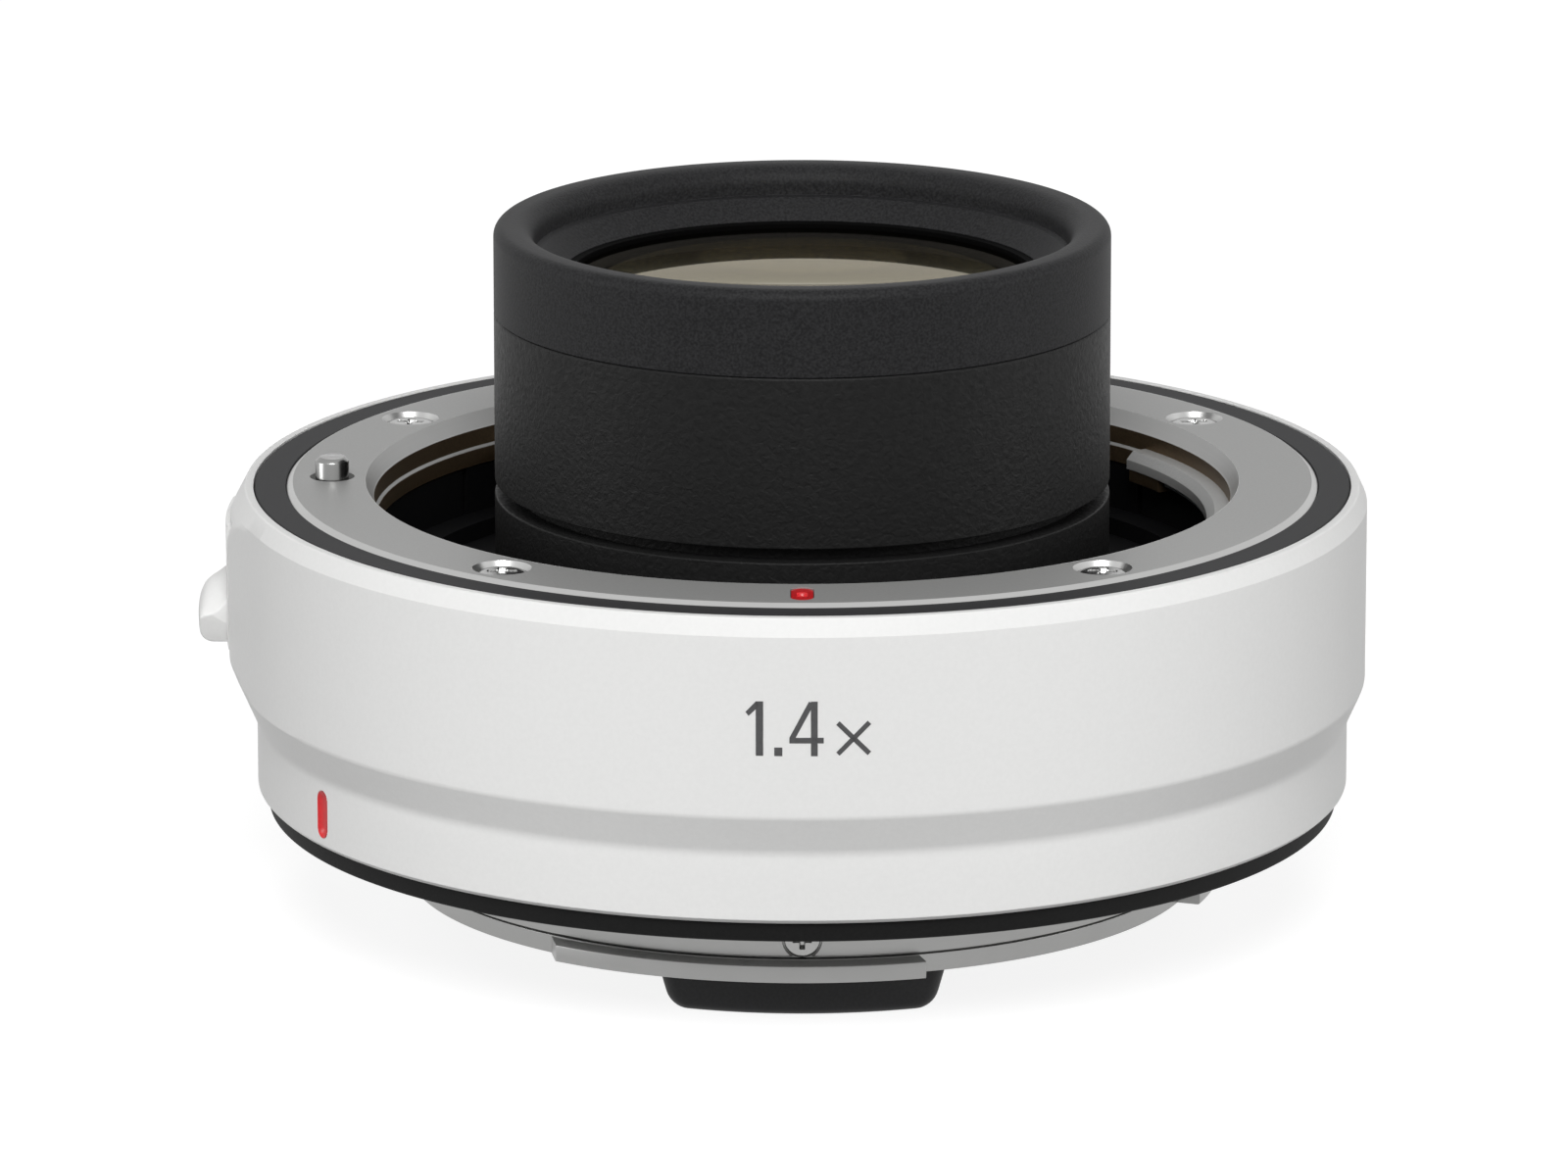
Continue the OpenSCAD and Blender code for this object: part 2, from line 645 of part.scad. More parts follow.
module knob_side() {
    corner_r = 0.8;
    nose_r = 2.6;
    hollow_r = 1.6;
    nose_a = 60;
    root_x = lever_plate_r - 0.5;
    tip_x = lever_plate_r + knob_out;
    nose = [tip_x - nose_r, knob_foot_z + corner_r];
    hollow = nose + (nose_r + hollow_r) * [cos(nose_a), sin(nose_a)];
    polygon(concat(
        [[root_x, knob_foot_z]],
        arc(tip_x - corner_r, nose[1], corner_r, -90, 0),
        arc(nose[0], nose[1], nose_r, 0, nose_a),
        arc(hollow[0], hollow[1], hollow_r, 180 + nose_a, 180),
        [[root_x, hollow[1] + 0.05]]
    ));
}

module knob_plan() {
    round_r = 0.8;
    root_x = lever_plate_r - 1;
    tip_x = lever_plate_r + knob_out;
    polygon(concat(
        [[root_x, knob_half_w], [root_x, -knob_half_w]],
        arc(tip_x - round_r, round_r - knob_half_w, round_r, -90, 0),
        arc(tip_x - round_r, knob_half_w - round_r, round_r, 0, 90)
    ));
}

module release_lever() {
    half_a = asin(lever_plate_half_w / lever_plate_r);
    color("whitesmoke") rotate([0, 0, lock_az]) difference() {
        union() {
            arc_ring(recess_r, lever_plate_r, -half_a, half_a, lever_plate_z[0], lever_plate_z[1]);
            intersection() {
                translate([0, knob_half_w, 0]) rotate([90, 0, 0]) linear_extrude(2 * knob_half_w) knob_side();
                linear_extrude(front_z) knob_plan();
            }
            translate([leaf_x, -stem_half_w, stem_z[0]])
                cube([recess_r - leaf_x + 0.3, 2 * stem_half_w, stem_z[1] - stem_z[0]]);
        }
        for (y = [-1, 1] * lever_screw_y) translate([leaf_x - over, y, lever_screw_z])
            rotate([0, 90, 0]) cylinder(h = 1.3 + over, d = lever_screw_d + 2 * fit_gap);
    }
}

module lever_screws() {
    color("silver") rotate([0, 0, lock_az]) for (y = [-1, 1] * lever_screw_y)
        translate([leaf_x - plate_t, y, lever_screw_z]) rotate([0, -90, 0])
            cross_screw(2.2, 0.45, lever_screw_d, plate_t + 1.2);
}

module lock_spring() {
    color("lightsteelblue") at_polar(spring_x, lock_az)
        coil((lock_spring_d - lock_wire_d) / 2, lock_wire_d / 2, lock_turns, mid_flange_z, tongue_z - plate_t, 6, 16);
}

// Lens unit

module hood_ring() {
    edge = 0.7;
    lip = 1.25;
    mouth_r = barrel_r - hood_rim_w;
    bore_r = spigot_r + fit_gap;
    shelf_z = retainer_z + 0.02;
    color("#2a2a2c") revolve(concat(
        [[bore_r, seam_z], [barrel_r, seam_z]],
        arc(barrel_r - edge, hood_top_z - edge, edge, 0, 90),
        arc(mouth_r + lip, hood_top_z - lip, lip, 90, 180),
        [[mouth_r, hood_top_z - 1.85], [mouth_r - 0.45, hood_top_z - 1.91]],
        [[lens_1_r, shelf_z + 0.05], [lens_1_r, shelf_z], [bore_r, shelf_z]]
    ));
}

module front_retainer() {
    color("#0c0c0c") ring(lens_1_clear_r, spigot_r - 0.3, lens_1_z, retainer_z);
}

module lens_barrel() {
    color("#242426") revolve([
        [inner_r + fit_gap, cell_z], [rear_spigot_r, cell_z], [rear_spigot_r, cell_z + rear_spigot_h],
        [lower_barrel_r, cell_z + rear_spigot_h], [lower_barrel_r, collar_z], [groove_r, collar_z],
        [groove_r, barrel_foot_z], [barrel_r, barrel_foot_z], [barrel_r, seam_z], [spigot_r, seam_z],
        [spigot_r, lens_1_z - fit_gap], [lens_1_r + fit_gap, lens_1_z - fit_gap],
        [lens_1_r + fit_gap, lens_1_foot_z], [inner_r + fit_gap, lens_1_foot_z], [inner_r + fit_gap, lip_z + lip_t],
        [inner_clear_r, lip_z + lip_t], [inner_clear_r, lip_z], [inner_r + fit_gap, lip_z]
    ]);
}

module barrel_collar() {
    color("#242426") ring(collar_bore_r, barrel_r, floor_z, collar_z);
}

module barrel_lock_ring() {
    z1 = floor_z - floor_t;
    notch_w = 1.6;
    color("#333333") difference() {
        ring(lower_barrel_r + fit_gap, lower_barrel_r + lock_ring_w, z1 - lock_ring_t, z1);
        for (a = [0, 90]) rotate([0, 0, a]) translate([-barrel_r - over, -notch_w / 2, z1 - lock_ring_t - over])
            cube([2 * (barrel_r + over), notch_w, over + 0.7]);
    }
}

module lens_1() {
    color("lightblue", 0.5) lens(lens_1_r, lens_1_z, lens_1_foot_z, front_curve, lens_1_clear_r, 70, inner_r - 0.1);
}

module lens_2() {
    color("lightblue", 0.5) lens(inner_r, lip_z, lens_2_foot_z, -45, inner_clear_r, -30, cement_r);
}

module lens_3() {
    color("powderblue", 0.5)
        lens(inner_r, lens_2_foot_z - cement_t, lens_3_foot_z, 30, cement_r, 60, inner_clear_r);
}

module lens_spacer() {
    color("#141414") ring(inner_clear_r + 0.1, inner_r, lens_4_top_z, lens_3_foot_z);
}

module lens_4() {
    color("lightblue", 0.5) lens(inner_r, lens_4_top_z, lens_5_top_z, -90, inner_clear_r, -35, cement_r);
}

module lens_5() {
    color("powderblue", 0.5) lens(inner_r, lens_5_top_z - cement_t, lens_6_top_z, 35, cement_r, 30, cement_r);
}

module lens_6() {
    color("lightblue", 0.5) lens(inner_r, lens_6_top_z - cement_t, cell_z, -30, cement_r, -90, inner_clear_r);
}

module rear_lens_cell() {
    color("#1c1c1e") revolve([
        [lens_7_r + fit_gap, cell_foot_z], [cell_r, cell_foot_z], [cell_r, cell_z + rear_spigot_h - 0.1],
        [rear_spigot_r + fit_gap, cell_z + rear_spigot_h - 0.1], [rear_spigot_r + fit_gap, cell_z],
        [lens_7_clear_r, cell_z], [lens_7_clear_r, lens_7_z], [lens_7_r + fit_gap, lens_7_z]
    ]);
}

module lens_7() {
    color("lightblue", 0.5)
        lens(lens_7_r, lens_7_z, lens_7_foot_z, 55, lens_7_clear_r - 0.1, 90, lens_7_r - 1.2);
}

module rear_retainer() {
    color("#0c0c0c") ring(lens_7_r - 1.1, lens_7_r, cell_foot_z + 0.1, lens_7_foot_z);
}

// Contacts and electronics

// Azimuths of a row of contacts spaced evenly along an arc
function row_az(row_r) =
    [for (i = [0:contact_n - 1]) contact_az + (i - (contact_n - 1) / 2) * contact_pitch / row_r * 180 / PI];

module front_contact_block() {
    half_a = front_block_half_a;
    color("#181818") difference() {
        union() {
            arc_ring(front_block_r[0], front_block_r[1], contact_az - half_a - 5, contact_az + half_a + 5,
                     floor_z, floor_z + front_block_flange_t);
            arc_ring(block_body_r[0], block_body_r[1], contact_az - half_a + 2, contact_az + half_a - 2,
                     board_z, floor_z + front_block_flange_t);
        }
        for (az = row_az(pin_row_r)) at_polar(pin_row_r, az, board_z - over)
            cylinder(h = floor_z - board_z + 3 * over, d = contact_d + 0.14);
        for (side = [-1, 1]) at_polar(pin_row_r, contact_az + side * (half_a + 2.6), floor_z - over)
            cylinder(h = 3 * over, d = 1.2 + 2 * fit_gap);
    }
}

module front_contact_pins() {
    r = contact_d / 2;
    color("gold") for (az = row_az(pin_row_r)) at_polar(pin_row_r, az) {
        translate([0, 0, pin_tip_z - pin_l]) cylinder(h = pin_l - r, r = r);
        translate([0, 0, pin_tip_z - r]) sphere(r = r, $fn = 24);
    }
}

module contact_springs() {
    wire_r = 0.07;
    color("lightsteelblue") for (az = row_az(pin_row_r)) at_polar(pin_row_r, az)
        coil(contact_d / 2 - wire_r, wire_r, 4, board_z, pin_tip_z - pin_l, 4, 8);
}

module front_block_screws() {
    color("silver") for (side = [-1, 1])
        at_polar(pin_row_r, contact_az + side * (front_block_half_a + 2.6), floor_z + front_block_flange_t)
            cross_screw(2, 0.4, 1.2, front_block_flange_t + floor_t);
}

module circuit_board() {
    color("darkgreen") difference() {
        arc_ring(board_r[0], board_r[1], board_angles[0], board_angles[1], board_z - board_t, board_z);
        for (az = board_boss_az) at_polar(board_boss_r, az, board_z - board_t - over)
            cylinder(h = board_t + 2 * over, d = 1.2 + 2 * fit_gap);
    }
}

module board_screws() {
    color("silver") for (az = board_boss_az) at_polar(board_boss_r, az, board_z - board_t)
        rotate([180, 0, 0]) cross_screw(2.2, 0.5, 1.2, board_t + 1.8);
}

module control_chips() {
    chip_z = board_z - board_t;
    color("#202020") {
        at_polar(board_boss_r, 236, chip_z - 0.9) translate([-2.3, -2.3, 0]) cube([4.6, 4.6, 0.9]);
        at_polar(board_boss_r, 304, chip_z - 0.8) translate([-1.8, -2.4, 0]) cube([3.6, 4.8, 0.8]);
    }
}

module board_connector() {
    color("ivory") at_polar(block_in_r + 2, contact_az, board_z - board_t - 0.9)
        translate([-1.2, -4.6, 0]) cube([2.4, 9.2, 0.9]);
}

module rear_flex() {
    flex_t = 0.25;
    z0 = block_top_z;
    color("peru") at_polar(block_in_r + 2, contact_az, z0)
        translate([-flex_t / 2, -4, 0]) cube([flex_t, 8, board_z - board_t - 0.9 - z0]);
}

// Rear mount

module rear_lobe(a0, a1) {
    z1 = lobe_z;
    z0 = neck_foot_z;
    lead = 2.2;
    difference() {
        rotate([0, 0, a0]) rotate_extrude(angle = a1 - a0) polygon([
            [neck_bore_r + 0.3, z0], [lobe_r - lobe_chamfer / 2, z0], [lobe_r, z0 + lobe_chamfer / 2],
            [lobe_r, z1 - lobe_chamfer], [lobe_r - lobe_chamfer, z1], [neck_bore_r + 0.3, z1]
        ]);
        at_polar(lobe_r, a0, z0 - over) rotate([0, 0, 38]) translate([0, -5, 0]) cube([5, 5 + lead, lobe_t + 2 * over]);
    }
}

module block_slot(gap) {
    translate([-block_top_w / 2 - gap, -block_out_r - gap, -block_drop - over])
        cube([block_top_w + 2 * gap, block_out_r - block_in_r + 2 + 2 * gap, block_drop + block_top_z + 2 * over]);
}

module rear_mount() {
    sink = 0.95;
    color("silver") difference() {
        union() {
            revolve([
                [neck_bore_r, neck_foot_z], [neck_r - neck_step, neck_foot_z],
                [neck_r - neck_step, lobe_z + neck_step_up], [neck_r, lobe_z + neck_step_up],
                [neck_r, relief_h], [relief_r, relief_h], [relief_r, 0],
                [rear_plate_r - 0.2, 0], [rear_plate_r, 0.2], [rear_plate_r, rear_plate_t],
                [rear_ledge_r, rear_plate_t], [rear_ledge_r, 0], [neck_bore_r, 0]
            ]);
            for (a = lobe_angles) rear_lobe(a[0], a[1]);
        }
        for (az = rear_screw_az) at_polar(rear_screw_r, az) {
            translate([0, 0, -over]) cylinder(h = sink + over, d = screw_head_d + 0.25);
            cylinder(h = rear_plate_t + over, d = screw_d + 2 * fit_gap);
        }
        for (az = baffle_screw_az) at_polar(baffle_screw_r, az, -over)
            cylinder(h = rear_plate_t + 2 * over, d = 1.2 + 2 * fit_gap);
        intersection() {
            block_slot(slide_gap);
            cylinder(h = rear_plate_t + over, r = neck_bore_r);
        }
        at_polar(neck_bore_r - over, contact_az, block_screw_z) rotate([0, 90, 0])
            cylinder(h = 5, d = block_screw_d + 2 * fit_gap);
    }
}

module rear_mount_screws() {
    sink = 0.95;
    color("silver") for (az = rear_screw_az) at_polar(rear_screw_r, az, sink)
        rotate([180, 0, 0]) cross_screw(screw_head_d, 0.75, screw_d, 4);
}

module rear_baffle() {
    t = 0.8;
    open_x = 29;
    open_y = 20;
    corner = 3;
    color("#0c0c0c") difference() {
        translate([0, 0, -t]) cylinder(h = t, r = neck_bore_r - fit_gap);
        translate([0, 0, -t - over]) linear_extrude(t + 2 * over) union() {
            square([open_x - 2 * corner, open_y], center = true);
            square([open_x, open_y - 2 * corner], center = true);
            for (x = [-1, 1] * (open_x / 2 - corner), y = [-1, 1] * (open_y / 2 - corner))
                translate([x, y]) circle(r = corner);
        }
        block_slot(slide_gap);
        translate([-barrel_r, -2 * block_out_r - block_in_r * cos(21), -t - over])
            cube([2 * barrel_r, 2 * block_out_r, t + 2 * over]);
        for (az = baffle_screw_az) at_polar(baffle_screw_r, az, -t - over)
            cylinder(h = t + 2 * over, d = 1.2 + 2 * fit_gap);
    }
}

module baffle_screws() {
    t = 0.8;
    color("#303030") for (az = baffle_screw_az) at_polar(baffle_screw_r, az, -t)
        rotate([180, 0, 0]) cross_screw(2.2, 0.5, 1.2, t + 1.4);
}

// Face of the block as seen from outside: a trapezium with rounded feet
module block_face() {
    half_top = block_top_w / 2;
    half_foot = block_foot_w / 2;
    slope_z = block_slope_h - block_drop;
    lean = atan((half_top - half_foot) / block_slope_h);
    corner_x = half_foot - block_corner * tan(45 - lean / 2);
    corner_z = block_corner - block_drop;
    polygon(concat(
        [[half_top, block_top_z], [-half_top, block_top_z], [-half_top, slope_z]],
        arc(-corner_x, corner_z, block_corner, 180 + lean, 270),
        arc(corner_x, corner_z, block_corner, 270, 360 - lean),
        [[half_top, slope_z]]
    ));
}

module rear_contact_block() {
    bevel = 0.35;
    color("#181818") difference() {
        intersection() {
            revolve([
                [block_in_r, -block_drop], [block_out_r - bevel, -block_drop], [block_out_r, -block_drop + bevel],
                [block_out_r, block_top_z], [block_in_r, block_top_z]
            ]);
            rotate([90, 0, 0]) linear_extrude(block_out_r + over) block_face();
        }
        for (az = row_az(pad_row_r)) at_polar(pad_row_r, az, -block_drop - over)
            cylinder(h = 2.5 + over, d = contact_d + 2 * fit_gap);
        at_polar(block_out_r - 2.2, contact_az, block_screw_z) rotate([0, 90, 0])
            cylinder(h = 2.2 + over, d = 1.2 + 2 * fit_gap);
    }
}

module rear_contact_pads() {
    color("gold") for (az = row_az(pad_row_r)) at_polar(pad_row_r, az, -block_drop + 0.05)
        cylinder(h = 2.45, d = contact_d);
}

module block_screw() {
    color("silver") at_polar(block_out_r + 0.35, contact_az, block_screw_z) rotate([0, 90, 0])
        cross_screw(block_screw_d, neck_r - block_out_r - 0.45, 1.2, 2.3);
}

outer_housing();
front_trim_ring();
rear_index_mark();
rear_seal_ring();
front_mount();
front_mount_screws();
front_index_mark();
bayonet_springs();
main_frame();
inner_shield();
pin_guide_bush();
lock_pin();
lock_slide_plate();
release_lever();
lever_screws();
lock_spring();
hood_ring();
front_retainer();
lens_barrel();
barrel_collar();
barrel_lock_ring();
lens_1();
lens_2();
lens_3();
lens_4();
lens_5();
lens_6();
lens_7();
lens_spacer();
rear_lens_cell();
rear_retainer();
front_contact_block();
front_contact_pins();
contact_springs();
front_block_screws();
circuit_board();
board_screws();
control_chips();
board_connector();
rear_flex();
rear_mount();
rear_mount_screws();
rear_baffle();
baffle_screws();
rear_contact_block();
rear_contact_pads();
block_screw();
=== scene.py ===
"""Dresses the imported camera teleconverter: smooth turned pieces, procedural finishes, studio and camera."""
import json
import math

import bmesh
import bpy
import numpy as np
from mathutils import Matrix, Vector


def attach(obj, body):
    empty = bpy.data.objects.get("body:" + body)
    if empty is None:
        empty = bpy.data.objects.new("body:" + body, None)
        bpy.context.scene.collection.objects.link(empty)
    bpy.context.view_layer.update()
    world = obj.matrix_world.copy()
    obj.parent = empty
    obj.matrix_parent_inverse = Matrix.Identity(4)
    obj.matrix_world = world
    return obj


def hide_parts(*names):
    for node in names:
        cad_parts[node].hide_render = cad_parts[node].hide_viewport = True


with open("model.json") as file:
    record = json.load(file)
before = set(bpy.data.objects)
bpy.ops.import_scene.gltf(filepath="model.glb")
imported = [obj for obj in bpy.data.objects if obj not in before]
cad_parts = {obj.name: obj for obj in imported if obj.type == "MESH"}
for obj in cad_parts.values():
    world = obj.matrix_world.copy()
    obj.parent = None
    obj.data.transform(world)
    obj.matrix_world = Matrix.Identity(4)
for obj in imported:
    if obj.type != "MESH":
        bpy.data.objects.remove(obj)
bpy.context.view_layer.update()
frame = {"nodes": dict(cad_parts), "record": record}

cad_nodes = frame["nodes"]

# Sizes in millimetres and angles in degrees. Most are the solids' own
# LEVER_PLATE_R and the first of LOBE_ARCS are set from the photograph instead
MM = 0.001
FRONT_Z = 20.3
HOUSE_R = 35.46
HOUSE_BORE_R = 34.44
LOWER_R = 34.36
LOWER_BORE_R = 33.34
HOUSE_TOP_Z = 20.13
HOUSE_FOOT_Z = 0.88
EDGE_H = 1.1
EDGE_W = 0.5
TAPER_TOP_Z = 7.8
TAPER_FOOT_Z = 5.3
BOSS_R = 36.16
LEVER_PLATE_R = 36.2
RECESS_R = 35.19
LEVER_PLATE_Z = (10.0, 18.1)
LOCK_TRAVEL = 1.5
MOUNT_R = 32.36
TAB_R = 25.4
SCREW_R = 29.65
SCREW_AZ = (32.0, 148.0, 232.0, 308.0)
SCREW_TURNS = (8.0, -8.0, 0.0, -8.0)
REAR_SCREW_R = 29.4
REAR_SCREW_AZ = (45.0, 135.0, 225.0, 315.0)
PIN_R = 29.52
BARREL_R = 19.3
SEAM_Z = 31.15
HOOD_TOP_Z = 36.6
NECK_R = 25.25
NECK_BORE_R = 23.9
LOBE_R = 26.4
LOBE_Z = -4.05
NECK_FOOT_Z = -5.15
BLOCK_FOOT_Z = -8.4
CONTACT_AZ = 270.0
LOCK_AZ = 180.0
REAR_MARK_AZ = 210.5
TAB_ARCS = ((346.0, 395.0), (97.0, 136.0), (239.0, 286.0))
LOBE_ARCS = ((340.5, 394.0), (93.0, 135.0), (235.0, 286.7))
TAB_ROOT_ANGLE = 8.0
FRONT_MARK_R = 29.705
REAR_MARK_Z = (TAPER_FOOT_Z + HOUSE_FOOT_Z) / 2
STOP_SCREW_Z = -2.7
BOSS_TANGENT_ANGLE = 17.7

# How meshes are finished: merging distance in metres, angle of a sharp edge, weight of the larger faces
MERGE_M = 2e-7
SHARP_ANGLE = 32.0
NORMAL_WEIGHT = 60

# Grid of a printed stroke
STROKE_COLS = 14
STROKE_ROWS = 8

# Detail of a grain's noise, and the mix node's colour sockets
GRAIN_DETAIL = 3.0
MIX_DARK = 6
MIX_LIGHT = 7
MIX_COLOUR = 2


# Shapes as whole arrays

def grid_faces(rows, cols, wrap_rows, wrap_cols):
    """Quads of a rows by cols grid of points: cell (i, j) joins i to i + 1 and j to j + 1,
    modulo where it wraps."""
    i = np.arange(rows if wrap_rows else rows - 1)[:, None]
    j = np.arange(cols if wrap_cols else cols - 1)[None, :]
    i2 = (i + 1) % rows
    j2 = (j + 1) % cols
    corners = np.broadcast_arrays(i * cols + j, i2 * cols + j, i2 * cols + j2, i * cols + j2)
    return np.stack(corners, axis=-1).reshape(-1, 4).tolist()


def rounded(points, radii, steps=5):
    """Closed outline with its corners rounded. At a corner P with unit sides u and v that meet at angle w,
    the arc has radius q, starts q / tan(w/2) along u, and its centre is q / sin(w/2) along the bisector."""
    p = np.asarray(points, float)
    q = np.broadcast_to(np.asarray(radii, float), len(p))[:, None]
    u = np.roll(p, 1, axis=0) - p
    v = np.roll(p, -1, axis=0) - p
    u = u / np.linalg.norm(u, axis=1, keepdims=True)
    v = v / np.linalg.norm(v, axis=1, keepdims=True)
    w = np.arccos(np.clip((u * v).sum(1, keepdims=True), -0.999999, 0.999999))
    bisector = (u + v) / np.linalg.norm(u + v, axis=1, keepdims=True)
    centre = p + bisector * q / np.sin(w / 2)
    a = p + u * q / np.tan(w / 2) - centre
    b = p + v * q / np.tan(w / 2) - centre
    turn = (math.pi - w)[:, :, None]
    s = np.linspace(0, 1, steps + 1)[None, :, None]
    arc = (np.sin((1 - s) * turn) * a[:, None] + np.sin(s * turn) * b[:, None]) / np.sin(turn)
    outline = (centre[:, None] + arc).reshape(-1, 2)
    apart = np.linalg.norm(outline - np.roll(outline, 1, axis=0), axis=1) > 1e-5
    return outline[apart]


def turned(profile, start=0.0, end=360.0, steps=288):
    """Ring or arc of a closed (r, z) profile: at angle a the point is (r cos a, r sin a, z).
    The start may be one angle for each profile point, which slants that end."""
    profile = np.asarray(profile, float)
    start = np.broadcast_to(start, len(profile))
    whole = end - start[0] >= 360.0
    angles = np.radians(np.linspace(start, end, steps, endpoint=not whole))
    r = profile[None, :, 0]
    z = np.broadcast_to(profile[None, :, 1], (steps, len(profile)))
    points = np.stack([r * np.cos(angles), r * np.sin(angles), z], axis=-1).reshape(-1, 3)
    faces = grid_faces(steps, len(profile), whole, True)
    ends = np.arange(len(profile))
    if not whole:
        faces += [ends.tolist(), (ends[::-1] + (steps - 1) * len(profile)).tolist()]
    return points, faces


def spun(profile, steps=192):
    """Solid of revolution of an open (r, z) profile that starts and ends on the axis."""
    points, _ = turned(profile, steps=steps)
    return points, grid_faces(steps, len(profile), True, False)


def lofted(sections):
    """Closed outlines in a row, joined by quads, with the first and the last one filled."""
    sections = np.asarray(sections, float)
    rows, cols = sections.shape[:2]
    ends = np.arange(cols)
    faces = grid_faces(rows, cols, False, True)
    faces += [ends[::-1].tolist(), (ends + (rows - 1) * cols).tolist()]
    return sections.reshape(-1, 3), faces


def placed(shape, az=0.0, radius=0.0, z=0.0):
    """Shape moved out along X and up, then turned about Z to an azimuth."""
    points, faces = shape
    c, s = math.cos(math.radians(az)), math.sin(math.radians(az))
    x = points[:, 0] + radius
    y = points[:, 1]
    return np.stack([x * c - y * s, x * s + y * c, points[:, 2] + z], axis=-1), faces


def smoothstep(low, high, x):
    """0 below low, 1 above high, and 3t^2 - 2t^3 between."""
    t = np.clip((x - low) / (high - low), 0, 1)
    return t * t * (3 - 2 * t)


def screw_head(radius, height, depth=0.35, edge=(0.5, 0.3)):
    """Round head as a height over polar (r, a): flat, rounded at the rim by a quarter ellipse whose width
    and drop are edge, less a cross whose two arms are 0.13 radius half wide and reach 0.56 radius from the
    middle, with sloping ends."""
    rings = 30
    spokes = 120
    flat = np.linspace(0, radius - edge[0], rings)
    turn = np.linspace(0, math.pi / 2, 9)[1:]
    r = np.concatenate([flat, radius - edge[0] + edge[0] * np.sin(turn), [radius]])
    top = np.concatenate([np.zeros(rings), edge[1] * (np.cos(turn) - 1), [-height]])
    a = np.linspace(0, 2 * math.pi, spokes, endpoint=False)[:, None]
    x = r * np.cos(a)
    y = r * np.sin(a)
    half_w = 0.13 * radius
    reach = 0.56 * radius
    soft = 0.05

    def arm(along, across):
        wide = 1 - smoothstep(half_w - soft / 2, half_w + soft / 2, np.abs(across))
        return wide * (1 - smoothstep(reach * 0.72, reach, np.abs(along)))

    cross = np.maximum(arm(x, y), arm(y, x))
    z = np.broadcast_to(top, x.shape) - depth * cross
    points = np.stack([x, y, z], axis=-1).reshape(-1, 3)
    rim = ((len(a) - 1 - np.arange(len(a))) * len(r) + len(r) - 1).tolist()
    return points, grid_faces(len(a), len(r), True, False) + [rim]


def stadium(length, width, steps=24):
    """Outline of a bar along X with round ends: two half circles joined by straight sides."""
    a = np.linspace(-math.pi / 2, math.pi / 2, steps)
    half = (length - width) / 2
    right = np.stack([half + width / 2 * np.cos(a), width / 2 * np.sin(a)], axis=-1)
    return np.concatenate([right, -right])


def dense(outline, gap):
    """Closed outline with more points on its long sides: a side of length d is parted into ceil(d / gap)."""
    side = np.roll(outline, -1, axis=0) - outline
    parts = np.ceil(np.linalg.norm(side, axis=1) / gap).astype(int)
    first = np.repeat(np.cumsum(parts) - parts, parts)
    share = (np.arange(parts.sum()) - first) / np.repeat(parts, parts)
    return np.repeat(outline, parts, axis=0) + np.repeat(side, parts, axis=0) * share[:, None]


def softened(points, rounds=3):
    """Open line smoothed by cutting corners: a round puts points at 1/4 and 3/4 of each side
    and keeps both ends."""
    points = np.asarray(points, float)
    for _ in range(rounds):
        low = 0.75 * points[:-1] + 0.25 * points[1:]
        high = 0.25 * points[:-1] + 0.75 * points[1:]
        points = np.concatenate([points[:1], np.stack([low, high], axis=1).reshape(-1, 2), points[-1:]])
    return points


def inset(outline, distance):
    """Outline moved inwards along its own normals, which come from the neighbours' difference."""
    tangent = np.roll(outline, -1, axis=0) - np.roll(outline, 1, axis=0)
    tangent = tangent / np.linalg.norm(tangent, axis=1, keepdims=True)
    inward = np.stack([-tangent[:, 1], tangent[:, 0]], axis=-1)
    return outline + inward * distance


# Pieces

def new_object(name, shapes, merge):
    """One object of several shapes given in millimetres: their points one after another, and each face's
    numbers moved up by the points before it. Normals face out, and doubled points merge where asked."""
    firsts = np.cumsum([0] + [len(points) for points, _ in shapes])
    points = np.concatenate([points for points, _ in shapes]) * MM
    faces = [[k + first for k in face] for (_, part), first in zip(shapes, firsts) for face in part]
    mesh = bpy.data.meshes.new(name)
    mesh.from_pydata(points.tolist(), [], faces)
    work = bmesh.new()
    work.from_mesh(mesh)
    if merge:
        bmesh.ops.remove_doubles(work, verts=work.verts, dist=MERGE_M)
    bmesh.ops.recalc_face_normals(work, faces=work.faces)
    work.to_mesh(mesh)
    work.free()
    obj = bpy.data.objects.new(name, mesh)
    bpy.context.scene.collection.objects.link(obj)
    return obj


def piece(name, shapes, material, body, nodes=(), sharp=SHARP_ANGLE):
    """One object that rides on a body, takes the given finish and may stand for CAD nodes."""
    obj = new_object(name, shapes, merge=True)
    finish_mesh(obj, material, sharp)
    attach(obj, body)
    if nodes:
        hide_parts(*nodes)
    return obj


def finish_mesh(obj, material, sharp):
    """Smooth shading with sharp edges over an angle, and normals that keep flat faces flat."""
    obj.data.materials.clear()
    obj.data.materials.append(material)
    obj.data.shade_smooth()
    obj.data.set_sharp_from_angle(angle=math.radians(sharp))
    normals = obj.modifiers.new("flat faces stay flat", "WEIGHTED_NORMAL")
    normals.keep_sharp = True
    normals.weight = NORMAL_WEIGHT


def cut(obj, shapes, material):
    """Takes the shapes, in millimetres, out of the object."""
    tool = new_object("cutter", shapes, merge=False)
    obj.modifiers.clear()
    take = obj.modifiers.new("take out", "BOOLEAN")
    take.object = tool
    take.operation = "DIFFERENCE"
    take.solver = "EXACT"
    result = bpy.data.meshes.new_from_object(obj.evaluated_get(bpy.context.evaluated_depsgraph_get()))
    obj.modifiers.clear()
    obj.data = result
    bpy.data.objects.remove(tool)
    finish_mesh(obj, material, SHARP_ANGLE)


# Materials

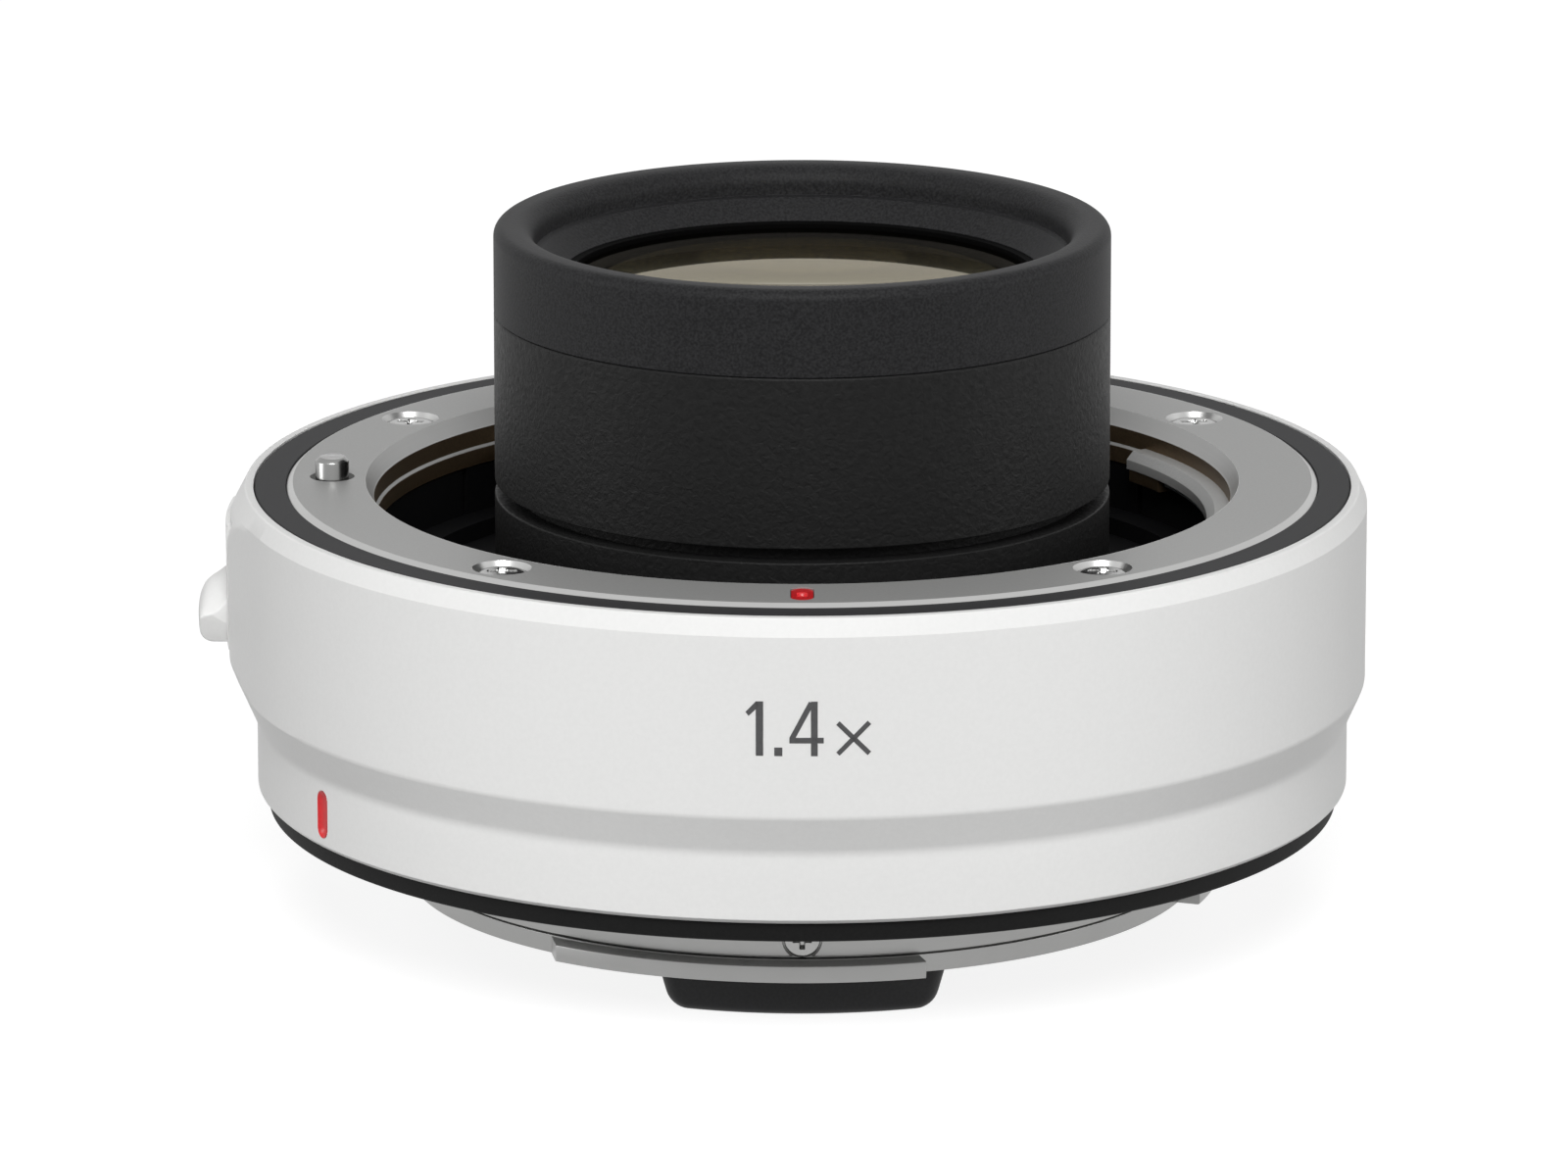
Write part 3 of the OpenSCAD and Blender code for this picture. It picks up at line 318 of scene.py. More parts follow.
def linear(hex_colour):
    """sRGB hex to linear RGBA: c / 12.92 up to 0.04045, and ((c + 0.055) / 1.055)^2.4 above."""
    c = np.array([int(hex_colour[k:k + 2], 16) for k in (1, 3, 5)]) / 255
    rgb = np.where(c <= 0.04045, c / 12.92, ((c + 0.055) / 1.055) ** 2.4)
    return (*rgb.tolist(), 1.0)


def per_mm(size):
    """Texture scale for a pattern whose features are size millimetres across, on metre coordinates."""
    return 1000.0 / size


def add(tree, kind, inputs=None, **settings):
    """Adds a node, sets its properties, and sets or links its inputs."""
    made = tree.nodes.new(kind)
    for key, value in settings.items():
        setattr(made, key, value)
    for key, value in (inputs or {}).items():
        if isinstance(value, bpy.types.NodeSocket):
            tree.links.new(value, made.inputs[key])
        else:
            made.inputs[key].default_value = value
    return made


def surface(name, **constants):
    """New material with one shader whose sockets take these constants; gives the material, its tree
    and the shader."""
    material = bpy.data.materials.new(name)
    material.use_nodes = True
    tree = material.node_tree
    tree.nodes.clear()
    shader = add(tree, "ShaderNodeBsdfPrincipled", {k.replace("_", " "): v for k, v in constants.items()})
    add(tree, "ShaderNodeOutputMaterial", {"Surface": shader.outputs["BSDF"]})
    return material, tree, shader


def colour_between(tree, shader, factor, dark, light):
    """Base colour from dark to light as the factor goes from 0 to 1."""
    mix = add(tree, "ShaderNodeMix", {"Factor": factor}, data_type="RGBA")
    mix.inputs[MIX_DARK].default_value = linear(dark)
    mix.inputs[MIX_LIGHT].default_value = linear(light)
    tree.links.new(mix.outputs[MIX_COLOUR], shader.inputs["Base Color"])


def roughness_between(tree, shader, factor, rough):
    """Roughness from the first value to the second as the factor goes from 0 to 1."""
    span = add(tree, "ShaderNodeMapRange", {"Value": factor, "To Min": rough[0], "To Max": rough[1]})
    tree.links.new(span.outputs["Result"], shader.inputs["Roughness"])


def bumped(tree, shader, height, depth, strength):
    """Bump that takes a height of 0 to 1 as 0 to depth millimetres."""
    bump = add(tree, "ShaderNodeBump", {"Height": height, "Distance": depth * MM, "Strength": strength})
    tree.links.new(bump.outputs["Normal"], shader.inputs["Normal"])


def grain(tree, shader, size, depth, dark, light, rough, strength):
    """Noise of one real grain size in millimetres: bump of that depth, a colour between dark and light,
    and a roughness range."""
    place = add(tree, "ShaderNodeTexCoord").outputs["Object"]
    noise = add(tree, "ShaderNodeTexNoise", {"Vector": place, "Scale": per_mm(size), "Detail": GRAIN_DETAIL})
    bumped(tree, shader, noise.outputs["Fac"], depth, strength)
    ramp = add(tree, "ShaderNodeMapRange",
               {"Value": noise.outputs["Fac"], "From Min": 0.35, "From Max": 0.65})
    colour_between(tree, shader, ramp.outputs["Result"], dark, light)
    roughness_between(tree, shader, noise.outputs["Fac"], rough)


def white_baked_enamel():
    """Sprayed and baked enamel on aluminium: a satin white with a very fine orange peel."""
    material, tree, shader = surface("white baked enamel", IOR=1.5, Specular_IOR_Level=0.08)
    grain(tree, shader, 0.3, 0.006, "#e6e6e5", "#e8e8e7", (0.42, 0.5), 0.2)
    return material


def turned_mount_metal(name, dark, light, rough, metallic=1.0):
    """Metal faced on a lathe: rings about 0.08 mm apart that stretch the gloss round the axis, with faint
    clouds of colour about 3 mm across."""
    material, tree, shader = surface(name, Metallic=metallic, Anisotropic=0.45)
    place = add(tree, "ShaderNodeTexCoord").outputs["Object"]
    flat = add(tree, "ShaderNodeVectorMath", {0: place, 1: (1.0, 1.0, 0.0)}, operation="MULTIPLY")
    radius = add(tree, "ShaderNodeVectorMath", {0: flat.outputs["Vector"]}, operation="LENGTH")
    rings = add(tree, "ShaderNodeTexNoise",
                {"W": radius.outputs["Value"], "Scale": per_mm(0.08), "Detail": 2.0}, noise_dimensions="1D")
    cloud = add(tree, "ShaderNodeTexNoise", {"Vector": place, "Scale": per_mm(3.0), "Detail": 3.0})
    colour_between(tree, shader, cloud.outputs["Fac"], dark, light)
    roughness_between(tree, shader, rings.outputs["Fac"], rough)
    bumped(tree, shader, rings.outputs["Fac"], 0.002, 0.25)
    tangent = add(tree, "ShaderNodeTangent", direction_type="RADIAL", axis="Z")
    tree.links.new(tangent.outputs["Tangent"], shader.inputs["Tangent"])
    return material


def crinkle_enamel():
    """Black crinkle enamel: wrinkles about 0.36 mm wide, shiny on their crests."""
    material, tree, shader = surface("black crinkle enamel", IOR=1.5, Specular_IOR_Level=0.12)
    place = add(tree, "ShaderNodeTexCoord").outputs["Object"]
    noise = add(tree, "ShaderNodeTexNoise",
                {"Vector": place, "Scale": per_mm(0.36), "Detail": 2.0, "Distortion": 0.6})
    bumped(tree, shader, noise.outputs["Fac"], 0.08, 0.8)
    colour_between(tree, shader, noise.outputs["Fac"], "#0e0e0e", "#202020")
    roughness_between(tree, shader, noise.outputs["Fac"], (0.62, 0.42))
    return material


def grained(name, size, depth, dark, light, rough, **constants):
    """Plain finish with a fine even grain."""
    material, tree, shader = surface(name, **constants)
    grain(tree, shader, size, depth, dark, light, rough, 0.5)
    return material


def coated_glass():
    """Optical glass with a coating: a dark olive base colour that paints the shade of the dark interior into
    the depth of the stack, with a warm beige reflection and a polish that varies a little over 6 mm."""
    # The dark olive base colour is painted shade, standing in for the dark inside of the barrel
    material, tree, shader = surface(
        "coated optical glass", Base_Color=linear("#8c8a7a"), IOR=1.55, Transmission_Weight=1.0,
        Specular_Tint=linear("#f2efda"), Thin_Film_Thickness=115.0, Thin_Film_IOR=1.38)
    place = add(tree, "ShaderNodeTexCoord").outputs["Object"]
    polish = add(tree, "ShaderNodeTexNoise", {"Vector": place, "Scale": per_mm(6.0), "Detail": 2.0})
    roughness_between(tree, shader, polish.outputs["Fac"], (0.0, 0.012))
    return material


FINISH = {
    "white_paint": white_baked_enamel(),
    # Nearly no gloss, so the trim reads as one even dark grey band
    "grey_trim": grained("dark grey anodised aluminium", 0.12, 0.006, "#2d2d2e", "#333334", (0.5, 0.6),
                         Specular_IOR_Level=0.05),
    # Blasted before plating, so the face is an even mid grey with no mirror in it
    "satin_mount_metal": grained("satin blasted chrome plate", 0.16, 0.004, "#919190", "#979796",
                                 (0.4, 0.5), Metallic=0.15, Specular_IOR_Level=0.2),
    # Smooth plating, so the screw heads sparkle
    "bright_steel": turned_mount_metal("bright nickel plated steel", "#969695", "#a0a09f", (0.14, 0.22)),
    "black_barrel_paint": crinkle_enamel(),
    # Dyed matt, so the inside of the throat stays almost black
    "black_anodised": grained("black anodised aluminium", 0.1, 0.005, "#030303", "#060606", (0.55, 0.7),
                              Specular_IOR_Level=0.02),
    # Eroded mould face, a soft black with little shine
    "black_plastic": grained("dull black polycarbonate", 0.2, 0.01, "#070708", "#0b0b0c", (0.55, 0.7),
                             IOR=1.58, Specular_IOR_Level=0.04),
    # A thin black line with a faint broad sheen
    "black_rubber": grained("black moulded rubber", 0.25, 0.015, "#0c0c0c", "#121212", (0.6, 0.75), IOR=1.52,
                            Specular_IOR_Level=0.12),
    "coated_glass": coated_glass(),
    # Polished points that glint yellow in the dark throat
    "gold_contact": grained("gold plated contact", 0.15, 0.002, "#d8a94e", "#e0b45c", (0.16, 0.26),
                            Metallic=1.0),
    # The next six are inside and hidden in the photograph
    "board_green": grained("green solder mask", 0.3, 0.008, "#123d20", "#184a28", (0.35, 0.5)),
    "chip_black": grained("black epoxy", 0.2, 0.008, "#1a1a1b", "#222224", (0.55, 0.7)),
    "spring_steel": grained("drawn spring steel", 0.12, 0.003, "#9aa0a4", "#aab0b4", (0.28, 0.4),
                            Metallic=1.0),
    "brass_bush": grained("turned brass", 0.12, 0.003, "#b58f45", "#c49d50", (0.25, 0.38), Metallic=1.0),
    "flex_amber": grained("amber polyimide film", 0.3, 0.004, "#8a4a12", "#9a561a", (0.35, 0.5)),
    "connector_ivory": grained("ivory moulded nylon", 0.2, 0.006, "#cfc9ae", "#d8d2b8", (0.45, 0.6)),
    # Filled grooves with a soft gloss, the only strong colour
    "red_resin": grained("red index enamel", 0.3, 0.006, "#bc0f18", "#c8141d", (0.3, 0.42)),
}
# A finer and lighter black than the barrel's crinkle
HOOD_PAINT = grained("black sand finish enamel", 0.16, 0.05, "#131314", "#282829", (0.5, 0.65), IOR=1.5,
                     Specular_IOR_Level=0.12)
# Full metal that mirrors the white surround and the dark underside
NECK_METAL = turned_mount_metal("turned chrome plated brass", "#8e8e8d", "#949493", (0.24, 0.34))
# The brightest metal, for the fine light lines round the ring and the screws
BEVEL_METAL = turned_mount_metal("bright turned chrome plate", "#b4b4b3", "#babab9", (0.28, 0.38))
# Ground smooth, so the pin shows small clear reflections
PIN_STEEL = turned_mount_metal("ground steel", "#8c8c8b", "#929291", (0.2, 0.28))
# Half metal, half pale: a lighter copy of the mount metal that paints the light caught by the lobes and the
# throat's lip as an even light grey
LOBE_PAINTED_LIGHT_METAL = turned_mount_metal("chrome plate painted light grey", "#a8a8a7", "#aeaead", (0.3, 0.4), 0.5)
# The mount's metal painted a warm dark brown on the throat walls: painted shade of the upright walls and
# painted reflection of the dark interior
BORE_PAINTED_SHADE_METAL = grained("bore metal in painted brown shade", 0.16, 0.004, "#6b5a45", "#75634c", (0.4, 0.5), Metallic=1.0)
# A lighter black than the throat's plastic, with a soft shine on its corners
BLOCK_PLASTIC = grained("black moulded polycarbonate", 0.2, 0.02, "#161617", "#1e1e1f", (0.45, 0.6),
                        IOR=1.58, Specular_IOR_Level=0.2)
# Matt print that stands out from the white without shine
MARK_PAINT = grained("dark grey printing ink", 0.2, 0.004, "#3a3a3b", "#424243", (0.5, 0.65))
SUBPART_SLOT = {entry["node"]: entry["material_slot"] for entry in frame["record"]["subparts"]}
for node_name, node_object in cad_nodes.items():
    node_object.data.materials.clear()
    node_object.data.materials.append(FINISH[SUBPART_SLOT[node_name]])


# Housing

def with_levels(profile, radius, levels):
    """Profile with more points, at these heights, on its straight wall of one radius."""
    below = (np.abs(profile[:, 0] - radius) < 1e-6) & (profile[:, 1] < levels[0])
    return np.insert(profile, np.flatnonzero(below)[-1] + 1,
                     np.stack([np.full_like(levels, radius), levels], axis=-1), axis=0)


def housing():
    """White shell as a grid over angle and profile. Its radius is the profile's, plus the lever boss, less
    the lever's recess and slot and the pocket under the red line. The boss has flat flanks that touch the
    wall: its radius is the smaller of boss(z) and wall / cos(tangent angle - angle), where boss(z) is the soft
    smaller of a round crown and the taper carried on upwards."""
    step = 0.02
    room = 0.15
    recess_z = (LEVER_PLATE_Z[0] - LOCK_TRAVEL - room, LEVER_PLATE_Z[1] + room)
    recess_y = 4.05
    slot_z = (9.25, 13.65)
    slot_y = 2.55
    slot_floor_r = 34.56
    inner_step_z = 7.3
    edges = np.array([*recess_z, *slot_z])
    profile = rounded([
        (LOWER_BORE_R, HOUSE_FOOT_Z), (LOWER_R - 0.25, HOUSE_FOOT_Z), (LOWER_R, HOUSE_FOOT_Z + 0.25),
        (LOWER_R, TAPER_FOOT_Z), (HOUSE_R, TAPER_TOP_Z), (HOUSE_R, HOUSE_TOP_Z - EDGE_H),
        (HOUSE_R - EDGE_W, HOUSE_TOP_Z), (HOUSE_BORE_R, HOUSE_TOP_Z), (HOUSE_BORE_R, inner_step_z),
        (LOWER_BORE_R, inner_step_z)],
        [0.05, 0.06, 0.08, 1.6, 0.9, 0.12, 0.18, 0.05, 0, 0], steps=7)
    wall = np.concatenate([np.arange(8.6, 18.7, 0.4), edges - step, edges + step,
                           np.arange(16.9, 18.7, 0.1)])
    profile = with_levels(profile, LOWER_R, np.linspace(HOUSE_FOOT_Z + 0.5, TAPER_FOOT_Z - 0.45, 64))
    profile = with_levels(profile, HOUSE_R, np.unique(np.round(wall, 4)))
    lock = math.radians(LOCK_AZ)
    cross = np.array([recess_y, slot_y])
    ys = np.concatenate([cross - step, cross + step, np.linspace(4.2, 11.2, 20)])
    ys = np.concatenate([ys, -ys])
    angles = np.concatenate([np.linspace(0, 2 * math.pi, 300, endpoint=False),
                             lock + np.arcsin(ys / HOUSE_R),
                             math.radians(REAR_MARK_AZ) + np.linspace(-0.9, 0.9, 31) / LOWER_R])
    angles = np.unique(np.round(angles, 7))
    r = np.broadcast_to(profile[None, :, 0], (len(angles), len(profile))).copy()
    z = np.broadcast_to(profile[None, :, 1], r.shape)
    away = angles[:, None] - lock
    y = HOUSE_R * np.sin(away)
    near = np.abs(away) < 0.5
    outside = (r > HOUSE_BORE_R + 0.3) & (z > TAPER_FOOT_Z) & (z < HOUSE_TOP_Z - 0.02) & near
    crown = 4.6
    crown_z = 16.7
    boss_crown = BOSS_R - crown + np.sqrt(crown ** 2 - np.maximum(z - crown_z, 0) ** 2)
    boss_foot = HOUSE_R + (z - TAPER_TOP_Z) * (HOUSE_R - LOWER_R) / (TAPER_TOP_Z - TAPER_FOOT_Z)
    soft = 0.08
    boss = np.minimum(boss_crown, boss_foot) - soft * np.log1p(np.exp(-np.abs(boss_crown - boss_foot) / soft))
    flank = HOUSE_R / np.cos(np.maximum(math.radians(BOSS_TANGENT_ANGLE) - np.abs(away), 0))
    r = np.where(outside, np.maximum(np.minimum(boss, flank), r), r)
    in_recess = outside & (np.abs(y) < recess_y) & (z > recess_z[0]) & (z < recess_z[1])
    r = np.where(in_recess, np.minimum(r, RECESS_R - 0.03), r)
    in_slot = outside & (np.abs(y) < slot_y) & (z > slot_z[0]) & (z < slot_z[1])
    r = np.where(in_slot, slot_floor_r, r)
    along = z - REAR_MARK_Z
    across = (angles[:, None] - math.radians(REAR_MARK_AZ)) * LOWER_R
    pocket_half = 0.9
    pocket_depth = 0.42
    bar = np.hypot(np.maximum(np.abs(along) - pocket_half, 0), across)
    pocket = (1 - smoothstep(0.54, 0.62, bar)) * (z < TAPER_FOOT_Z) * (r > LOWER_R - 0.1)
    r = r - pocket_depth * pocket
    a = np.broadcast_to(angles[:, None], r.shape)
    points = np.stack([r * np.cos(a), r * np.sin(a), z], axis=-1).reshape(-1, 3)
    return points, grid_faces(len(angles), len(profile), True, True)


def index_dish(length, width, dish):
    """Painted groove: rings of a bar outline from a thin rim inwards, sinking by dish times 1 - (1 - t)^2."""
    t = np.linspace(0, 1, 9)
    outline = stadium(length, width)
    spine = np.stack([np.clip(outline[:, 0], -(length - width) / 2, (length - width) / 2),
                      np.zeros(len(outline))], axis=-1)
    flat = outline[None] + (spine - outline)[None] * (t * 0.995)[:, None, None]
    depth = np.where(t < 0.12, 0.0, dish * (1 - (1 - t) ** 2))
    top = np.concatenate([flat, np.broadcast_to(-depth[:, None, None], flat.shape[:2] + (1,))], axis=-1)
    skirt = np.concatenate([flat[:1], np.full((1, flat.shape[1], 1), -0.4)], axis=-1)
    return np.concatenate([skirt, top])


def rear_index():
    """The dish of the red line, wrapped on the lower cylinder: x goes up, y round, and depth inwards."""
    rows = index_dish(2.99, 1.2, 0.26)
    a = math.radians(REAR_MARK_AZ) + rows[..., 1] / LOWER_R
    r = LOWER_R + 0.012 + rows[..., 2]
    z = rows[..., 0] + REAR_MARK_Z
    return lofted(np.stack([r * np.cos(a), r * np.sin(a), z], axis=-1))


def front_index():
    """The front mark: the same bar with a round dimple about 0.52 mm in radius in its middle."""
    outline = stadium(3.1, 1.34)
    t = np.linspace(0, 1, 24)[:, None, None]
    flat = outline[None] * (1 - t * 0.995)
    near = np.hypot(flat[..., 0], flat[..., 1])
    depth = 0.08 + 0.22 * (1 - smoothstep(0.46, 0.58, near))
    rows = np.concatenate([flat, -depth[..., None]], axis=-1)
    skirt = np.concatenate([outline[None], np.full((1, len(outline), 1), -0.55)], axis=-1)
    points, faces = lofted(np.concatenate([skirt, rows]))
    return placed((points, faces), CONTACT_AZ, FRONT_MARK_R, FRONT_Z)


def stroke(corners, lift=0.014, sunk=0.05):
    """Printed stroke: four corners in (arc length, height), spread to a grid by bilinear weights and wrapped
    round the upper cylinder, with its back sunk in the wall."""
    s = np.linspace(0, 1, STROKE_COLS)[:, None, None]
    t = np.linspace(0, 1, STROKE_ROWS)[None, :, None]
    p = np.asarray(corners, float)
    flat = (1 - s) * ((1 - t) * p[0] + t * p[3]) + s * ((1 - t) * p[1] + t * p[2])
    a = math.radians(CONTACT_AZ) + flat[..., 0] / HOUSE_R
    layers = [np.stack([r * np.cos(a), r * np.sin(a), flat[..., 1]], axis=-1).reshape(-1, 3)
              for r in (HOUSE_R + lift, HOUSE_R - sunk)]
    count = STROKE_COLS * STROKE_ROWS
    number = np.arange(count).reshape(STROKE_COLS, STROKE_ROWS)
    ring = np.concatenate([number[0], number[1:, -1], number[-1, -2::-1], number[-2:0:-1, 0]])
    after = np.roll(ring, -1)
    front = grid_faces(STROKE_COLS, STROKE_ROWS, False, False)
    back = [[k + count for k in face] for face in front]
    sides = np.stack([ring, after, after + count, ring + count], axis=-1).tolist()
    return np.concatenate(layers), front + back + sides


def magnification_mark():
    """The plain number 1.4 and a multiplication sign, as straight strokes."""
    low = 11.71
    high = 15.09
    return [stroke(c) for c in (
        [(-2.79, low), (-2.34, low), (-2.34, high), (-2.79, high)],
        [(-3.41, 14.42), (-3.22, 14.17), (-2.6, 14.78), (-2.78, high)],
        [(-1.68, low), (-1.19, low), (-1.19, 12.24), (-1.68, 12.24)],
        [(0.52, low), (0.93, low), (0.93, high), (0.52, high)],
        [(-0.77, 12.5), (1.29, 12.5), (1.29, 12.85), (-0.77, 12.85)],
        [(-0.77, 12.85), (-0.4, 12.85), (0.72, high - 0.13), (0.4, high)],
        [(2.04, 11.93), (2.24, 11.72), (4.14, 13.64), (3.93, 13.86)],
        [(2.04, 13.64), (2.24, 13.86), (4.14, 11.94), (3.93, 11.72)],
    )]


white = FINISH["white_paint"]
metal = FINISH["satin_mount_metal"]
steel = FINISH["bright_steel"]
crinkle = FINISH["black_barrel_paint"]

piece("housing_shell", [housing()], white, "body", ["outer_housing"], sharp=28.0)
piece("red_rear_line", [rear_index()], FINISH["red_resin"], "body", ["rear_index_mark"])
piece("magnification_print", magnification_mark(), MARK_PAINT, "body")
piece("trim_band", [turned(rounded([(32.41, 18.4), (34.39, 18.4), (34.39, 20.1), (32.41, 20.1)],
                                   [0, 0, 0.16, 0.05]))],
      FINISH["grey_trim"], "body", ["front_trim_ring"])
piece("seal_lip", [turned(rounded([(31.85, 0.1), (31.85, 1.8), (33.29, 1.8), (33.29, 0.83), (33.79, 0.83),
                                   (33.66, -0.42), (33.16, -0.42), (32.76, 0.1)],
                                  [0, 0, 0, 0, 0.12, 0.2, 0.15, 0.1]))],
      FINISH["black_rubber"], "body", ["rear_seal_ring"])


# Front mount

mount_profile = rounded([
    (27.6, 17.0), (27.6, 18.4), (MOUNT_R, 18.4), (MOUNT_R, 19.98), (31.98, FRONT_Z), (27.42, FRONT_Z),
    (27.3, 20.05), (26.98, 19.4), (26.9, 19.3), (26.9, 18.18), (26.72, 18.06), (26.72, 17.0)],
    [0, 0, 0, 0.05, 0.05, 0.06, 0.06, 0.06, 0.04, 0.04, 0.04, 0.06])
mount = piece("front_mount_ring", [turned(mount_profile)], metal, "body",
              ["front_mount"])
well = spun([(0, -0.95), (1.6, -0.95), (1.6, -0.36), (1.825, 0), (1.825, 1.0), (0, 1.0)], steps=64)
pin_well = spun([(0, -3.0), (1.4, -3.0), (1.4, 1.0), (0, 1.0)], steps=64)
mark_bar = stadium(3.2, 1.44)
mark_well = lofted([np.concatenate([mark_bar, np.full((len(mark_bar), 1), h)], axis=1)
                    for h in (-0.6, 1.0)])
cut(mount, [placed(well, az, SCREW_R, FRONT_Z) for az in SCREW_AZ]
    + [placed(pin_well, LOCK_AZ, PIN_R, FRONT_Z), placed(mark_well, CONTACT_AZ, FRONT_MARK_R, FRONT_Z)],
    metal)

tab_profile = rounded([(TAB_R, 17.2), (27.0, 17.2), (27.0, 18.35), (25.9, 18.35), (TAB_R, 17.85)],
                      [0.08, 0, 0, 0.08, 0.08])
root_profile = rounded([(25.5, 16.4), (26.75, 16.4), (26.75, 17.5), (25.5, 17.5)], [0.08, 0.08, 0, 0])
piece("bayonet_tabs", [turned(tab_profile, a, b, 60) for a, b in TAB_ARCS],
      metal, "body")
upper_wall = [(26.88, 18.2), (27.2, 18.2), (27.2, 19.26), (26.88, 19.26)]
lower_wall = [(26.7, 17.02), (26.9, 17.02), (26.9, 18.02), (26.7, 18.02)]
# The throat walls carry the painted brown shade and the painted reflection of the dark interior
piece("throat_walls",
      [turned(upper_wall), turned(lower_wall)]
      + [turned(root_profile, b - TAB_ROOT_ANGLE, b - 0.3, 16) for _, b in TAB_ARCS],
      BORE_PAINTED_SHADE_METAL, "body")
outer_bevel = [(32.365, 19.985), (31.985, 20.304), (31.95, 20.29), (32.33, 19.97)]
inner_bevel = [(27.41, 20.303), (27.29, 20.053), (26.97, 19.403), (26.89, 19.29), (26.93, 19.26),
               (27.02, 19.39), (27.34, 20.04), (27.45, 20.29)]
screw_seat = turned([(1.59, -0.36), (1.815, 0.0), (1.84, -0.01), (1.62, -0.38)], steps=64)
piece("mount_bevel",
      [turned(outer_bevel)] + [placed(screw_seat, az, SCREW_R, FRONT_Z) for az in SCREW_AZ],
      BEVEL_METAL, "body")
# The lip's even light grey is painted light on its upward chamfer
piece("throat_lip", [turned(inner_bevel)], LOBE_PAINTED_LIGHT_METAL, "body")
head = screw_head(1.58, 0.75)
piece("mount_screw_heads",
      [placed(placed(head, turn - az), az, SCREW_R, 20.1) for az, turn in zip(SCREW_AZ, SCREW_TURNS)],
      steel, "body", ["front_mount_screws"])
piece("red_front_mark", [front_index()], FINISH["red_resin"], "body", ["front_index_mark"])
pin_profile = [(0.0, 21.6), (0.76, 21.6), (0.8, 21.585), (1.035, 21.35), (1.05, 21.31), (1.05, 16.25),
               (0.0, 16.25)]
piece("lock_pin_turned", [placed(spun(pin_profile, 96), LOCK_AZ, PIN_R)], PIN_STEEL, "lock",
      ["lock_pin"])


# Release lever

def lever_knob():
    """Knob whose side outline (out, up) is scooped at both ends and swells to a round nose in its middle:
    outline(y) = end + (1 - (y / h)^2) (middle - end), drawn in at both ends by a quarter circle and leaning
    in towards the foot, where it is 0.8 as wide."""
    half = 3.3
    corner = 0.85
    foot_z = 10.25
    root_x = 35.5
    q = 0.1
    foot_share = 0.8
    lean_h = 1.9
    hub_share = 0.03
    inner_rows = 14
    bend = np.linspace(-math.pi / 2, 0, 8)[:, None]
    bend = corner * np.hstack([np.cos(bend), 1 + np.sin(bend)])

    def outline(corner_x, above):
        upper = softened([(corner_x + corner, foot_z + corner), *above])
        return np.concatenate([[(root_x, foot_z)], (corner_x, foot_z) + bend, upper[1:]])

    middle = outline(37.13, [(38.0, 11.8), (37.98, 12.3), (37.86, 12.86), (37.58, 13.45), (37.17, 13.82),
                             (36.68, 14.14), (36.12, 14.57), (35.9, 14.65), (root_x, 14.7)])
    end = outline(36.95, [(37.8, 11.7), (37.77, 11.97), (37.6, 12.08), (37.29, 12.13), (36.83, 12.32),
                          (36.37, 12.7), (35.96, 13.3), (35.9, 13.85), (root_x, 13.9)])
    turn = np.linspace(0, math.pi / 2, 6)
    tips = half - q + q * np.sin(turn)
    draw = q - q * np.cos(turn)
    y = np.concatenate([-tips[::-1], np.linspace(-half + q, half - q, inner_rows + 2)[1:-1], tips])
    drawn = np.concatenate([draw[::-1], np.zeros(inner_rows), draw])
    rows = end + (1 - (y / half) ** 2)[:, None, None] * (middle - end)
    rows = np.stack([inset(row, distance) for row, distance in zip(rows, drawn)])
    hub = np.array([35.75, 11.3])
    rows = np.concatenate([hub + hub_share * (rows[:1] - hub), rows, hub + hub_share * (rows[-1:] - hub)])
    y = np.concatenate([y[:1], y, y[-1:]])
    lean = np.clip((rows[..., 1] - foot_z) / lean_h, 0, 1)
    across = y[:, None] * (foot_share + (1 - foot_share) * lean)
    return lofted(np.stack([rows[..., 0], across, rows[..., 1]], axis=-1))


plate_half = 3.9
plate_arc = math.degrees(math.asin(plate_half / LEVER_PLATE_R))
plate_profile = rounded([(RECESS_R, LEVER_PLATE_Z[0]), (LEVER_PLATE_R, LEVER_PLATE_Z[0]),
                         (LEVER_PLATE_R, LEVER_PLATE_Z[1]), (RECESS_R, LEVER_PLATE_Z[1])], [0, 0.2, 0.2, 0])
piece("lever_knob",
      [placed(lever_knob(), LOCK_AZ), turned(plate_profile, LOCK_AZ - plate_arc, LOCK_AZ + plate_arc, 40)],
      white, "lock", ["release_lever"])


# Lens unit

piece("hood", [turned(rounded([
    (17.25, SEAM_Z), (BARREL_R, SEAM_Z), (BARREL_R, HOOD_TOP_Z), (16.75, HOOD_TOP_Z), (16.75, 34.75),
    (16.3, 34.69), (15.0, 33.45), (15.0, 33.4), (17.25, 33.4)],
    [0, 0.06, 0.7, 1.25, 0.05, 0.05, 0.03, 0, 0], steps=8))],
      HOOD_PAINT, "body", ["hood_ring"])
piece("barrel", [turned(rounded([
    (13.05, 5.3), (16.6, 5.3), (16.6, 7.2), (17.95, 7.2), (17.95, 20.4),
    (BARREL_R, 20.4), (BARREL_R, SEAM_Z), (17.2, SEAM_Z), (17.2, 33.0), (15.05, 33.0), (15.05, 29.6),
    (13.05, 29.6), (13.05, 26.7), (11.6, 26.7), (11.6, 25.9), (13.05, 25.9)],
    [0, 0, 0, 0, 0, 0.08, 0.2, 0, 0, 0, 0, 0, 0, 0, 0, 0]))],
      crinkle, "body", ["lens_barrel"])
piece("collar", [turned(rounded([(18.0, 10.9), (BARREL_R, 10.9), (BARREL_R, 19.53), (18.0, 19.53)],
                                [0, 0, 0.12, 0]))],
      crinkle, "body", ["barrel_collar"])
piece("lens_retainer", [turned(rounded([(14.5, 33.05), (16.9, 33.05), (16.9, 33.38), (14.5, 33.38)],
                                       [0, 0, 0, 0.06]))],
      FINISH["black_anodised"], "body", ["front_retainer"])


